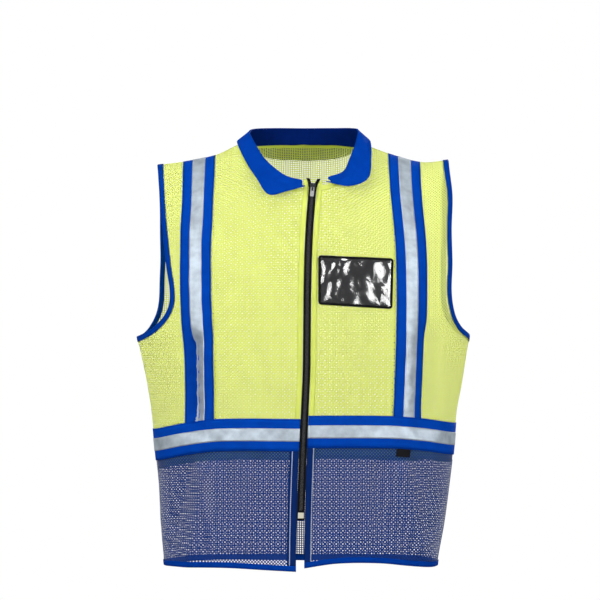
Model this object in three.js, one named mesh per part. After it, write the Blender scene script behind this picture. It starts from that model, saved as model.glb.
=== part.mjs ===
// A sleeveless mesh work vest in the shape it takes when worn: lime mesh yokes, navy mesh skirts,
// blue tapes with silver stripes, a turned-down collar, a front zip and a clear card pocket.
// Units are millimetres. +X is the wearer's left, -Y is the front, +Z is up.
// The origin is the middle of the neck opening, level with the side neck points.
import * as THREE from 'three';

// Driving sizes
const HALF_WIDTH = 258;
const LENGTH = 656;
const FRONT_DEPTH = 122;
const BACK_DEPTH = 124;
const SQUARENESS = 2.4;
const CLOTH = 1.2;
const GAP = 0.3;
const SEAM_GAP = 0.6;
const TAPE_THICK = 2.2;
const SIDE_GAP = 1;
const EDGE_GAP = 1.5;
const TAPE_WIDTH = 50;
const STRIPE_WIDTH = 20;
const STRIPE_THICK = 0.6;
const BINDING_WIDTH = 8.5;
const ZIP_WIDTH = 12;
const COIL_WIDTH = 4.8;
const NECK_HALF = 96;
const NECK_FRONT = 127;
const NECK_SQUARENESS = 2.6;
const NECK_BACK = 60;
const COLLAR_THICK = 1.8;
const POCKET_RIM = 4.5;
const POCKET_WIDTH = 115;
const POCKET_HEIGHT = 77;
const FACING_RIGHT = 14;
const FACING_LEFT = 11;

// Heights of the layers above the inside of the cloth
const POCKET_LIFT = CLOTH + GAP + 0.3;
const STRIPE_LIFT = TAPE_THICK + GAP;

// Profile of the front from the shoulder line down: shares of LENGTH, and depth as a share of FRONT_DEPTH
const FRONT_PROFILE = [
  { down: -0.052, drop: 0.012, depth: -0.26 },
  { down: 0, drop: 0, depth: 0 },
  { down: 0.052, drop: 0.012, depth: 0.26 },
  { down: 0.096, drop: 0.038, depth: 0.46 },
  { down: 0.152, drop: 0.084, depth: 0.64 },
  { down: 0.227, drop: 0.152, depth: 0.80 },
  { down: 0.322, drop: 0.244, depth: 0.93 },
  { down: 0.43, drop: 0.351, depth: 1.0 },
  { down: 0.567, drop: 0.488, depth: 0.98 },
  { down: 0.735, drop: 0.655, depth: 0.92 },
  { down: 0.933, drop: 0.853, depth: 0.94 },
  { down: 1.1, drop: 1.02, depth: 0.99 },
];

// Profile of the back, with depth as a share of BACK_DEPTH
const BACK_PROFILE = [
  { down: -0.054, drop: 0.009, depth: -0.28 },
  { down: 0, drop: 0, depth: 0 },
  { down: 0.054, drop: 0.009, depth: 0.28 },
  { down: 0.1, drop: 0.03, depth: 0.5 },
  { down: 0.16, drop: 0.074, depth: 0.72 },
  { down: 0.245, drop: 0.15, depth: 0.9 },
  { down: 0.362, drop: 0.264, depth: 1.0 },
  { down: 0.499, drop: 0.4, depth: 0.98 },
  { down: 0.71, drop: 0.61, depth: 0.87 },
  { down: 0.892, drop: 0.792, depth: 0.9 },
  { down: 1.12, drop: 1.02, depth: 1.0 },
];

// Half widths of the body of the vest: height as a share of LENGTH, widths as shares of HALF_WIDTH
const WIDTHS = [
  { drop: 0, left: 1.015, right: 1.015 },
  { drop: 0.36, left: 1.015, right: 1.012 },
  { drop: 0.45, left: 1.004, right: 0.996 },
  { drop: 0.482, left: 0.985, right: 0.982 },
  { drop: 0.563, left: 0.942, right: 0.95 },
  { drop: 0.631, left: 0.915, right: 0.918 },
  { drop: 0.72, left: 0.893, right: 0.9 },
  { drop: 0.8, left: 0.872, right: 0.876 },
  { drop: 0.9, left: 0.859, right: 0.842 },
  { drop: 1.02, left: 0.832, right: 0.78 },
];

// Height of the shoulder line: distance from the middle as a share of HALF_WIDTH, height in share of
// LENGTH
const RIDGE = [
  { out: 0, left: 0.03, right: 0.03 },
  { out: 0.2, left: 0.024, right: 0.024 },
  { out: 0.39, left: 0.002, right: -0.002 },
  { out: 0.53, left: -0.023, right: -0.022 },
  { out: 0.71, left: -0.038, right: -0.04 },
  { out: 0.89, left: -0.047, right: -0.034 },
  { out: 1.02, left: -0.053, right: -0.03 },
];

// Outer edge of each armhole: height below the origin in shares of LENGTH, widths in shares of HALF_WIDTH
const ARMHOLES = [
  { drop: 0, frontLeft: 0.885, frontRight: 0.872, backLeft: 0.886, backRight: 0.872 },
  { drop: 0.05, frontLeft: 0.88, frontRight: 0.875, backLeft: 0.886, backRight: 0.872 },
  { drop: 0.12, frontLeft: 0.866, frontRight: 0.892, backLeft: 0.874, backRight: 0.862 },
  { drop: 0.2, frontLeft: 0.848, frontRight: 0.885, backLeft: 0.858, backRight: 0.85 },
  { drop: 0.28, frontLeft: 0.825, frontRight: 0.888, backLeft: 0.85, backRight: 0.84 },
  { drop: 0.34, frontLeft: 0.803, frontRight: 0.882, backLeft: 0.846, backRight: 0.838 },
  { drop: 0.375, frontLeft: 0.805, frontRight: 0.89, backLeft: 0.85, backRight: 0.845 },
  { drop: 0.405, frontLeft: 0.84, frontRight: 0.912, backLeft: 0.87, backRight: 0.872 },
  { drop: 0.43, frontLeft: 0.9, frontRight: 0.95, backLeft: 0.91, backRight: 0.925 },
  { drop: 0.445, frontLeft: 0.96, frontRight: 0.99, backLeft: 0.96, backRight: 0.985 },
  { drop: 0.452, frontLeft: 1.004, frontRight: 0.996, backLeft: 1.004, backRight: 0.996 },
];

// Middle line of the zip, and the front edges below it: heights in LENGTH, across in HALF_WIDTH
const ZIP_LINE = [
  { drop: 0.06, x: 0.062 },
  { drop: 0.14, x: 0.044 },
  { drop: 0.22, x: 0.03 },
  { drop: 0.32, x: 0.022 },
  { drop: 0.45, x: 0.018 },
  { drop: 0.54, x: 0.015 },
  { drop: 0.645, x: 0.003 },
  { drop: 0.75, x: -0.008 },
  { drop: 0.87, x: -0.018 },
  { drop: 1.02, x: -0.024 },
];

// Middle line of the waist band: distance out in HALF_WIDTH, height in LENGTH
const BAND_LINE = [
  { out: 0, left: 0.683, right: 0.675, back: 0.69 },
  { out: 0.5, left: 0.683, right: 0.676, back: 0.692 },
  { out: 0.72, left: 0.694, right: 0.683, back: 0.697 },
  { out: 0.92, left: 0.71, right: 0.695, back: 0.703 },
  { out: 1.05, left: 0.71, right: 0.695, back: 0.703 },
];

// Lower edge of the vest: distance out in HALF_WIDTH, height in LENGTH
const HEM_LINE = [
  { out: 0, left: 1.004, right: 0.995, back: 0.992 },
  { out: 0.2, left: 1.0, right: 0.984, back: 0.992 },
  { out: 0.45, left: 0.995, right: 0.984, back: 0.99 },
  { out: 0.7, left: 0.995, right: 0.994, back: 0.99 },
  { out: 0.9, left: 0.994, right: 0.993, back: 0.992 },
];

// Long folds in the cloth: where the crease line starts and ends, its half breadth and how far it lifts
const FOLDS = [
  { face: 'front', x0: -0.665, drop0: 0.42, x1: -0.655, drop1: 0.66, breadth: 0.05, lift: -15 },
  { face: 'front', x0: -0.57, drop0: 0.44, x1: -0.575, drop1: 0.7, breadth: 0.05, lift: 5 },
  { face: 'front', x0: 0.77, drop0: 0.4, x1: 0.735, drop1: 0.66, breadth: 0.07, lift: -11 },
  { face: 'front', x0: 0.62, drop0: 0.4, x1: 0.6, drop1: 0.68, breadth: 0.06, lift: 4 },
  { face: 'front', x0: -0.55, drop0: 0.72, x1: -0.69, drop1: 1.02, breadth: 0.06, lift: 7 },
  { face: 'front', x0: -0.67, drop0: 0.72, x1: -0.8, drop1: 0.95, breadth: 0.035, lift: -6 },
  { face: 'front', x0: 0.56, drop0: 0.71, x1: 0.74, drop1: 1.02, breadth: 0.06, lift: 7 },
  { face: 'front', x0: 0.42, drop0: 0.73, x1: 0.5, drop1: 1.02, breadth: 0.06, lift: -5 },
  { face: 'front', x0: 0.3, drop0: 0.3, x1: 0.14, drop1: 0.62, breadth: 0.06, lift: 3 },
  { face: 'front', x0: -0.36, drop0: 0.18, x1: -0.16, drop1: 0.56, breadth: 0.07, lift: 3 },
  { face: 'back', x0: -0.4, drop0: 0.46, x1: -0.3, drop1: 0.9, breadth: 0.08, lift: 7 },
  { face: 'back', x0: 0.36, drop0: 0.44, x1: 0.42, drop1: 0.92, breadth: 0.08, lift: 7 },
  { face: 'back', x0: 0.02, drop0: 0.5, x1: 0.05, drop1: 1.02, breadth: 0.07, lift: -6 },
  { face: 'back', x0: -0.66, drop0: 0.6, x1: -0.6, drop1: 1.02, breadth: 0.05, lift: -6 },
];

// The collar from the left front end round the back to the right front end, in shares of NECK_HALF.
// fold is the top edge, fall is the lower outer edge, neck is the angle of its seat on the neckline in
// degrees.
const COLLAR = [
  { neck: -178, foldX: -0.031, foldY: -0.927, foldZ: -0.573, fallX: 0.021, fallY: -1.021, fallZ: -0.667 },
  { neck: -158, foldX: -0.271, foldY: -0.833, foldZ: -0.51, fallX: -0.271, fallY: -1.062, fallZ: -0.75 },
  { neck: -140, foldX: -0.458, foldY: -0.698, foldZ: -0.385, fallX: -0.562, fallY: -1.083,
      fallZ: -0.802 },
  { neck: -122, foldX: -0.646, foldY: -0.49, foldZ: -0.198, fallX: -0.75, fallY: -0.958, fallZ: -0.552 },
  { neck: -105, foldX: -0.802, foldY: -0.25, foldZ: 0.052, fallX: -0.958, fallY: -0.646, fallZ: -0.229 },
  { neck: -88, foldX: -0.885, foldY: 0, foldZ: 0.219, fallX: -1.083, fallY: -0.104, fallZ: 0.052 },
  { neck: -66, foldX: -0.812, foldY: 0.292, foldZ: 0.281, fallX: -1.021, fallY: 0.479, fallZ: 0.021 },
  { neck: -36, foldX: -0.479, foldY: 0.562, foldZ: 0.302, fallX: -0.604, fallY: 0.854, fallZ: -0.167 },
  { neck: 0, foldX: 0, foldY: 0.656, foldZ: 0.302, fallX: 0, fallY: 0.948, fallZ: -0.208 },
  { neck: 36, foldX: 0.479, foldY: 0.562, foldZ: 0.302, fallX: 0.604, fallY: 0.854, fallZ: -0.167 },
  { neck: 66, foldX: 0.812, foldY: 0.292, foldZ: 0.292, fallX: 1.021, fallY: 0.479, fallZ: 0.021 },
  { neck: 88, foldX: 0.885, foldY: 0, foldZ: 0.24, fallX: 1.083, fallY: -0.125, fallZ: 0.062 },
  { neck: 105, foldX: 0.844, foldY: -0.25, foldZ: 0.042, fallX: 1.083, fallY: -0.708, fallZ: -0.229 },
  { neck: 122, foldX: 0.75, foldY: -0.49, foldZ: -0.208, fallX: 1.031, fallY: -0.938, fallZ: -0.542 },
  { neck: 138, foldX: 0.635, foldY: -0.677, foldZ: -0.427, fallX: 0.729, fallY: -1.052, fallZ: -0.667 },
  { neck: 152, foldX: 0.396, foldY: -0.812, foldZ: -0.521, fallX: 0.354, fallY: -1.031, fallZ: -0.594 },
];

// Inner edges of the tapes that run over the shoulders: height in LENGTH, distance out in HALF_WIDTH
const TAPE_LINES = [
  { drop: 0, left: 0.532, right: 0.504 },
  { drop: 0.104, left: 0.538, right: 0.514 },
  { drop: 0.24, left: 0.553, right: 0.546 },
  { drop: 0.366, left: 0.552, right: 0.553 },
  { drop: 0.48, left: 0.538, right: 0.546 },
  { drop: 0.7, left: 0.532, right: 0.526 },
];

// Card pocket corners on the front: across in HALF_WIDTH, up in LENGTH
const POCKET = [
  { x: 0.0853, z: -0.2607 },
  { x: 0.5349, z: -0.2683 },
  { x: 0.5271, z: -0.3872 },
  { x: 0.0853, z: -0.3765 },
];

// Value of a column at a key, through the rows of a table, smoothed
function smooth(rows, key, column, at) {
  const last = rows.length - 1;
  let i = 0;
  while (i < last - 1 && at > rows[i + 1][key]) i += 1;
  const span = rows[i + 1][key] - rows[i][key];
  const share = Math.min(1, Math.max(0, (at - rows[i][key]) / span));
  const before = rows[Math.max(0, i - 1)];
  const after = rows[Math.min(last, i + 2)];
  const a = rows[i];
  const b = rows[i + 1];
  const slopeA = ((b[column] - before[column]) / (b[key] - before[key])) * span;
  const slopeB = ((after[column] - a[column]) / (after[key] - a[key])) * span;
  const s2 = share * share;
  const s3 = s2 * share;
  return (2 * s3 - 3 * s2 + 1) * a[column] + (s3 - 2 * s2 + share) * slopeA
    + (3 * s2 - 2 * s3) * b[column] + (s3 - s2) * slopeB;
}

function step(from, to, at) {
  const share = Math.min(1, Math.max(0, (at - from) / (to - from)));
  return share * share * (3 - 2 * share);
}

function mix(a, b, share) {
  return a + (b - a) * share;
}

function hand(x) {
  return x < 0 ? 'left' : 'right';
}

// Value that makes a rising function reach the target
function solve(rising, low, high, target) {
  let a = low;
  let b = high;
  for (let i = 0; i < 40; i += 1) {
    const middle = (a + b) / 2;
    if (rising(middle) < target) a = middle;
    else b = middle;
  }
  return (a + b) / 2;
}

// One point of the rounded section, by its share of the way from the middle to the side seam
function section(half, depth, share) {
  const steps = 40;
  const points = [];
  const lengths = [0];
  for (let i = 0; i <= steps; i += 1) {
    const turn = (i / steps) * Math.PI / 2;
    const reach = (Math.sin(turn) ** SQUARENESS + Math.cos(turn) ** SQUARENESS) ** (-1 / SQUARENESS);
    points.push([half * reach * Math.sin(turn), depth * reach * Math.cos(turn)]);
    if (i > 0) {
      const run = Math.hypot(points[i][0] - points[i - 1][0], points[i][1] - points[i - 1][1]);
      lengths.push(lengths[i - 1] + run);
    }
  }
  const wanted = share * lengths[steps];
  let i = 0;
  while (i < steps - 1 && lengths[i + 1] < wanted) i += 1;
  const part = (wanted - lengths[i]) / (lengths[i + 1] - lengths[i]);
  return {
    x: mix(points[i][0], points[i + 1][0], part),
    y: mix(points[i][1], points[i + 1][1], part),
    length: lengths[steps],
  };
}

// Drop and depth of a face at a distance down the cloth
function profile(face, down) {
  const rows = face === 'front' ? FRONT_PROFILE : BACK_PROFILE;
  const at = down / LENGTH;
  return {
    drop: smooth(rows, 'down', 'drop', at) * LENGTH,
    depth: smooth(rows, 'down', 'depth', at) * (face === 'front' ? FRONT_DEPTH : BACK_DEPTH),
  };
}

function ridge(x) {
  return smooth(RIDGE, 'out', hand(x), Math.abs(x) / HALF_WIDTH) * LENGTH;
}

function height(face, x, down) {
  const { drop } = profile(face, down);
  return ridge(x) * (1 - step(0, 0.4 * LENGTH, drop)) - drop;
}

// Plain surface of the vest before the folds, share runs from -1 to 1 and past the side onto the other
// face
function plain(face, share, down) {
  if (down < 0) return plain(face === 'front' ? 'back' : 'front', share, -down);
  if (Math.abs(share) > 1) return plain(face === 'front' ? 'back' : 'front',
      Math.sign(share) * (2 - Math.abs(share)), down);
  const { drop, depth } = profile(face, down);
  const half = smooth(WIDTHS, 'drop', hand(share), drop / LENGTH) * HALF_WIDTH;
  const flat = section(half, depth, Math.abs(share));
  const x = Math.sign(share) * flat.x;
  const y = face === 'front' ? -flat.y : flat.y;
  return new THREE.Vector3(x, y, height(face, x, down));
}

function foldLift(face, x, z) {
  const across = x / HALF_WIDTH;
  const drop = -z / LENGTH;
  let lift = 0;
  for (const fold of FOLDS) {
    if (fold.face !== face) continue;
    const along = (drop - fold.drop0) / (fold.drop1 - fold.drop0);
    const middle = mix(fold.x0, fold.x1, along);
    const window = step(0, 0.25, along) * (1 - step(0.8, 1.15, along));
    lift += fold.lift * window * Math.exp(-(((across - middle) / fold.breadth) ** 2));
  }
  return lift;
}

// Point of the worn cloth, lifted off it by a height
function cloth(face, share, down, lift = 0) {
  const nudge = 0.002;
  const sideways = plain(face, share + nudge, down).sub(plain(face, share - nudge, down));
  const downwards = plain(face, share, down + 1).sub(plain(face, share, down - 1));
  const normal = sideways.cross(downwards).normalize();
  const point = plain(face, share, down);
  const flipped = Math.abs(share) > 1;
  const shown = (down < 0) === flipped ? face : (face === 'front' ? 'back' : 'front');
  if (shown === 'front' ? face === 'front' : face !== 'front') normal.negate();
  const middle = new THREE.Vector3(0, 0, point.z - 60);
  if (normal.dot(point.clone().sub(middle)) < 0) normal.negate();
  return point.addScaledVector(normal, lift + foldLift(shown, point.x, point.z));
}

// Share and distance down of a place seen from the front at x, z
function place(face, x, z) {
  const down = solve((d) => -height(face, x, d), 0, 1.1 * LENGTH, -z);
  return { share: across(face, x, down), down };
}

function across(face, x, down) {
  const { drop, depth } = profile(face, Math.abs(down));
  const half = smooth(WIDTHS, 'drop', hand(x), drop / LENGTH) * HALF_WIDTH;
  if (Math.abs(x) >= half) return Math.sign(x);
  return Math.sign(x) * solve((s) => section(half, depth, s).x, 0, 1, Math.abs(x));
}

function seamLength(face, side, down) {
  const { drop, depth } = profile(face, Math.abs(down));
  const half = smooth(WIDTHS, 'drop', side, drop / LENGTH) * HALF_WIDTH;
  return section(half, depth, 0.5).length;
}

// Closed shell from a grid of places: at(column, row, lift) gives a point
function shell(columns, rows, low, high, at) {
  const positions = [];
  const faces = [];
  const wide = columns.length;
  const tall = rows.length;
  for (const lift of [low, high]) {
    for (const r of rows) {
      for (const c of columns) {
        const p = at(c, r, lift);
        positions.push(p.x, p.y, p.z);
      }
    }
  }
  const index = (layer, r, c) => layer * wide * tall + r * wide + c;
  const quad = (a, b, c, d) => faces.push(a, b, c, a, c, d);
  for (let r = 0; r < tall - 1; r += 1) {
    for (let c = 0; c < wide - 1; c += 1) {
      quad(index(1, r, c), index(1, r + 1, c), index(1, r + 1, c + 1), index(1, r, c + 1));
      quad(index(0, r, c), index(0, r, c + 1), index(0, r + 1, c + 1), index(0, r + 1, c));
    }
  }
  for (let r = 0; r < tall - 1; r += 1) {
    quad(index(0, r, 0), index(0, r + 1, 0), index(1, r + 1, 0), index(1, r, 0));
    quad(index(0, r + 1, wide - 1), index(0, r, wide - 1), index(1, r, wide - 1), index(1, r + 1,
        wide - 1));
  }
  for (let c = 0; c < wide - 1; c += 1) {
    quad(index(0, 0, c + 1), index(0, 0, c), index(1, 0, c), index(1, 0, c + 1));
    quad(index(0, tall - 1, c), index(0, tall - 1, c + 1), index(1, tall - 1, c + 1), index(1,
        tall - 1, c));
  }
  return solid(positions, faces);
}

// Body swept along a path of frames, with a ring of [across, up] points
function sweep(frames, ring, closed) {
  const positions = [];
  const faces = [];
  for (const frame of frames) {
    for (const [side, up] of ring) {
      const p = frame.point.clone().addScaledVector(frame.inward, side).addScaledVector(frame.normal, up);
      positions.push(p.x, p.y, p.z);
    }
  }
  const round = ring.length;
  const count = frames.length;
  const lastStep = closed ? count : count - 1;
  for (let i = 0; i < lastStep; i += 1) {
    for (let k = 0; k < round; k += 1) {
      const a = i * round + k;
      const b = i * round + ((k + 1) % round);
      const c = ((i + 1) % count) * round + ((k + 1) % round);
      const d = ((i + 1) % count) * round + k;
      faces.push(a, b, c, a, c, d);
    }
  }
  if (!closed) {
    for (let k = 1; k < round - 1; k += 1) {
      faces.push(0, k + 1, k);
      const end = (count - 1) * round;
      faces.push(end, end + k, end + k + 1);
    }
  }
  return solid(positions, faces);
}

// Geometry with its faces turned outwards
function solid(positions, faces) {
  let volume = 0;
  const corner = (i) => new THREE.Vector3(positions[3 * i], positions[3 * i + 1], positions[3 * i + 2]);
  for (let i = 0; i < faces.length; i += 3) {
    volume += corner(faces[i]).dot(corner(faces[i + 1]).cross(corner(faces[i + 2])));
  }
  if (volume < 0) {
    for (let i = 0; i < faces.length; i += 3) {
      const kept = faces[i + 1];
      faces[i + 1] = faces[i + 2];
      faces[i + 2] = kept;
    }
  }
  const geometry = new THREE.BufferGeometry();
  geometry.setAttribute('position', new THREE.Float32BufferAttribute(positions, 3));
  geometry.setIndex(faces);
  geometry.computeVertexNormals();
  return geometry;
}

const vest = new THREE.Group();
vest.name = 'mesh_vest';

function add(name, geometry, color, roughness = 0.9, metalness = 0) {
  const mesh = new THREE.Mesh(geometry, new THREE.MeshStandardMaterial({ color, roughness, metalness }));
  mesh.name = name;
  vest.add(mesh);
}

function spaced(count) {
  return Array.from({ length: count + 1 }, (unused, i) => i / count);
}

const LIME = 0xd6e66a;
const NAVY = 0x2a3f7a;
const BLUE = 0x0046b8;
const SILVER = 0xb4bec2;
const BLACK = 0x17171a;

// Middle of the zip and the edges of the two fronts beside it
function zipX(drop) {
  return smooth(ZIP_LINE, 'drop', 'x', drop / LENGTH) * HALF_WIDTH;
}

function frontEdge(side, down, away = 0) {
  const { drop } = profile('front', down);
  const sign = side === 'left' ? -1 : 1;
  const middle = zipX(drop - ridge(0) * (1 - step(0, 0.4 * LENGTH, drop)));
  return across('front', middle + sign * (ZIP_WIDTH / 2 + GAP + away), down);
}

// Armhole edge as [share, down] places, moved into the cloth by an inset
const armPaths = new Map();
function armPath(face, side, inset) {
  const name = `${face} ${side} ${inset}`;
  if (armPaths.has(name)) return armPaths.get(name);
  const column = face + (side === 'left' ? 'Left' : 'Right');
  const sign = side === 'left' ? -1 : 1;
  const last = ARMHOLES[ARMHOLES.length - 1].drop;
  const edge = [];
  for (let i = 0; i <= 26; i += 1) {
    const drop = mix(-ridge(0.88 * sign * HALF_WIDTH) / LENGTH, last, Math.sin((i / 26) * Math.PI / 2));
    const x = sign * smooth(ARMHOLES, 'drop', column, drop) * HALF_WIDTH;
    const spot = i === 0 ? { share: across(face, x, 0), down: 0 } : place(face, x, -drop * LENGTH);
    const share = i === 26 ? 1 : Math.abs(spot.share);
    edge.push([share * seamLength(face, side, spot.down), spot.down]);
  }
  const path = edge.map(([run, down], i) => {
    const a = edge[Math.max(0, i - 1)];
    const b = edge[Math.min(26, i + 1)];
    const size = Math.hypot(b[0] - a[0], b[1] - a[1]);
    const moved = down + (inset * (b[0] - a[0])) / size * (i === 0 ? 0 : 1);
    const length = seamLength(face, side, moved);
    const share = (run - (inset * (b[1] - a[1])) / size) / length;
    return { share: i === 26 ? 1 : Math.min(share, 1), down: i === 26 ? down + inset : moved };
  });
  armPaths.set(name, path);
  return path;
}

// Outer edge of a panel: the armhole, then the side seam
function outerEdge(face, side, down) {
  const sign = side === 'left' ? -1 : 1;
  const seam = 1 - SIDE_GAP / 2 / seamLength(face, side, down);
  const path = armPath(face, side, BINDING_WIDTH + EDGE_GAP);
  const last = path.length - 1;
  if (down >= path[last].down) return sign * seam;
  let i = 0;
  while (i < last - 1 && path[i + 1].down < down) i += 1;
  const part = (down - path[i].down) / (path[i + 1].down - path[i].down);
  return sign * Math.min(seam, mix(path[i].share, path[i + 1].share, Math.max(0, part)));
}

function neckDown(face, x) {
  const share = Math.min(1, Math.abs(x) / NECK_HALF);
  return (face === 'front' ? NECK_FRONT : NECK_BACK) * (1 - share ** NECK_SQUARENESS) ** (1 / NECK_SQUARENESS);
}

// Heights of the band and hem seen from the front, the back meets the front at the side seams
function lineHeight(rows, face, x) {
  const out = Math.abs(x) / HALF_WIDTH;
  if (face === 'front') return -smooth(rows, 'out', hand(x), out) * LENGTH;
  const own = smooth(rows, 'out', 'back', out);
  const seam = smooth(rows, 'out', hand(x), out);
  return -mix(own, seam, step(0.6, 0.85, out)) * LENGTH;
}

function bandHeight(face, x) {
  return lineHeight(BAND_LINE, face, x);
}

function hemHeight(face, x) {
  return lineHeight(HEM_LINE, face, x);
}

// Inner edge of the tape that runs over a shoulder
function tapeShare(face, side, down) {
  const sign = side === 'left' ? -1 : 1;
  const drop = Math.max(0, -height(face, sign * 0.6 * HALF_WIDTH, down));
  const x = smooth(TAPE_LINES, 'drop', side, Math.min(0.7, drop / LENGTH)) * HALF_WIDTH;
  return across(face, sign * x, down);
}

// Share of a column at a distance down: k runs 0 to 1 from the inner edge to the tape,
// 1 to 2 over the tape, and 2 to 3 from the tape to the outer edge
function lane(face, side, k, down, away = 0) {
  const sign = side === 'left' ? -1 : 1;
  const tapeIn = tapeShare(face, side, down);
  const perMm = sign / seamLength(face, side, down);
  if (k <= 1) return mix(face === 'front' ? frontEdge(side, down, away) : 0, tapeIn, k);
  if (k <= 2) return tapeIn + (k - 1) * TAPE_WIDTH * perMm;
  return mix(tapeIn + TAPE_WIDTH * perMm, outerEdge(face, side, down), k - 2);
}

// Distance down at which a column meets a height line
function levelDown(face, side, k, line, away = 0) {
  let down = downOf(face, 0, line(face, 0));
  for (let i = 0; i < 3; i += 1) {
    const { x } = plain(face, lane(face, side, k, down, away), down);
    down = downOf(face, x, line(face, x));
  }
  return down;
}

// Place in a panel between two height lines, r runs down from 0 to 1
function between(face, side, k, r, top, bottom, away = 0) {
  const down = mix(levelDown(face, side, k, top, away), levelDown(face, side, k, bottom, away), r);
  return { share: lane(face, side, k, down, away), down };
}

function downOf(face, x, z) {
  return solve((d) => -height(face, x, d), 0, 1.1 * LENGTH, -z);
}

function placed(face, spot, lift) {
  return cloth(face, spot.share, spot.down, lift);
}

// Columns of a whole back, from the left seam to the right seam
function mirrored(columns) {
  return [...columns.slice(1).map((k) => -k).reverse(), ...columns];
}

const halfOf = (k) => (k < 0 ? 'left' : 'right');
const above = (line, rise) => (face, x) => line(face, x) + rise;
const bandTop = above(bandHeight, TAPE_WIDTH / 2);
const bandLow = above(bandHeight, -TAPE_WIDTH / 2);
const yokeBottom = above(bandTop, SEAM_GAP);
const skirtTop = above(bandLow, -SEAM_GAP);
const skirtBottom = above(hemHeight, BINDING_WIDTH + GAP);

// Yokes, in a part inside each tape and a part outside it, with rows that bunch where the armhole
// turns out
const neckLane = NECK_HALF / (0.52 * HALF_WIDTH);
const yokeColumns = [...spaced(7).map((a) => neckLane * a),
    ...spaced(2).slice(1).map((a) => mix(neckLane, 1, a))];
const yokeRows = [...spaced(9).map((a) => a ** 1.2), ...spaced(5).slice(1).map((a) => 1 + a),
    ...spaced(3).slice(1).map((a) => 2 + a)];
const sideRows = [...spaced(12).map((a) => a ** 1.1), ...spaced(9).slice(1).map((a) => 1 + a),
    ...spaced(3).slice(1).map((a) => 2 + a)];
const LANE_GAP = 0.016;

// Where a column of a yoke starts: on the neckline, then along the shoulder line
function yokeTop(face, side, k) {
  const sign = side === 'left' ? -1 : 1;
  if (k >= 1) return { shift: 0, down: SIDE_GAP / 2 };
  if (k > neckLane) {
    return { shift: (yokeTop(face, side, neckLane).shift * (1 - k)) / (1 - neckLane),
        down: SIDE_GAP / 2 };
  }
  const edge = face === 'front' ? sign * plain(face, frontEdge(side, NECK_FRONT), NECK_FRONT).x : 0;
  const x = sign * NECK_HALF * Math.sin(mix(Math.asin(edge / NECK_HALF), Math.PI / 2, k / neckLane));
  const down = Math.max(SIDE_GAP / 2, neckDown(face, x));
  return { shift: across(face, x, down) - lane(face, side, k, down), down };
}

function yokeDown(face, side, k, r) {
  const path = armPath(face, side, BINDING_WIDTH + EDGE_GAP);
  const turn = path[12].down;
  const under = path[26].down;
  if (r <= 1) return mix(yokeTop(face, side, k).down, turn, r);
  if (r <= 2) return mix(turn, under, Math.sin((r - 1) * Math.PI / 2));
  return mix(under, levelDown(face, side, k, yokeBottom), r - 2);
}

function yokeAt(face, side, k, r, lift) {
  const down = yokeDown(face, side, k, r);
  const held = k < 1 ? Math.min(k, 1 - LANE_GAP / 2) : Math.max(k, 2 + LANE_GAP);
  const share = lane(face, side, held, down) + yokeTop(face, side, held).shift * (1 - step(0, 0.8, r));
  return cloth(face, share, down, lift);
}

// The wearer's right is on the negative side
const SIDES = [{ side: 'left', name: 'right', facing: FACING_RIGHT }, { side: 'right', name: 'left',
    facing: FACING_LEFT }];
const outerColumns = spaced(3).map((a) => 2 + a);
const skirtColumns = [...spaced(6), ...spaced(3).slice(1).map((a) => 1 + a),
    ...spaced(3).slice(1).map((a) => 2 + a)];
const skirtRows = spaced(5);

for (const { side, name, facing } of SIDES) {
  add(`front_yoke_${name}`, shell(yokeColumns.map((k) => Math.min(k, 0.999)), yokeRows, 0, CLOTH,
    (k, r, lift) => yokeAt('front', side, k, r, lift)), LIME);
  add(`front_side_yoke_${name}`, shell(outerColumns, sideRows, 0, CLOTH,
    (k, r, lift) => yokeAt('front', side, k, r, lift)), LIME);
  add(`back_side_yoke_${name}`, shell(outerColumns, sideRows, 0, CLOTH,
    (k, r, lift) => yokeAt('back', side, k, r, lift)), LIME);
  add(`front_skirt_${name}`, shell(skirtColumns, skirtRows, 0, CLOTH, (k, r, lift) => (
    placed('front', between('front', side, k, r, skirtTop, skirtBottom, facing + GAP), lift))), NAVY);
  add(`front_facing_${name}`, shell(spaced(1), skirtRows, 0, CLOTH, (c, r, lift) => {
    const { down } = between('front', side, 0, r, above(skirtTop, -0.4), above(skirtBottom, 1.8));
    return cloth('front', frontEdge(side, down, c * facing), down, lift);
  }), BLUE);
}
add('back_yoke', shell(mirrored(yokeColumns.map((k) => Math.min(k, 0.999))), yokeRows, 0, CLOTH,
  (k, r, lift) => yokeAt('back', halfOf(k), Math.abs(k), r, lift)), LIME);
add('back_skirt', shell(mirrored(skirtColumns), skirtRows, 0, CLOTH,
  (k, r, lift) => placed('back', between('back', halfOf(k), Math.abs(k), r, skirtTop, skirtBottom),
      lift)), NAVY);

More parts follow.
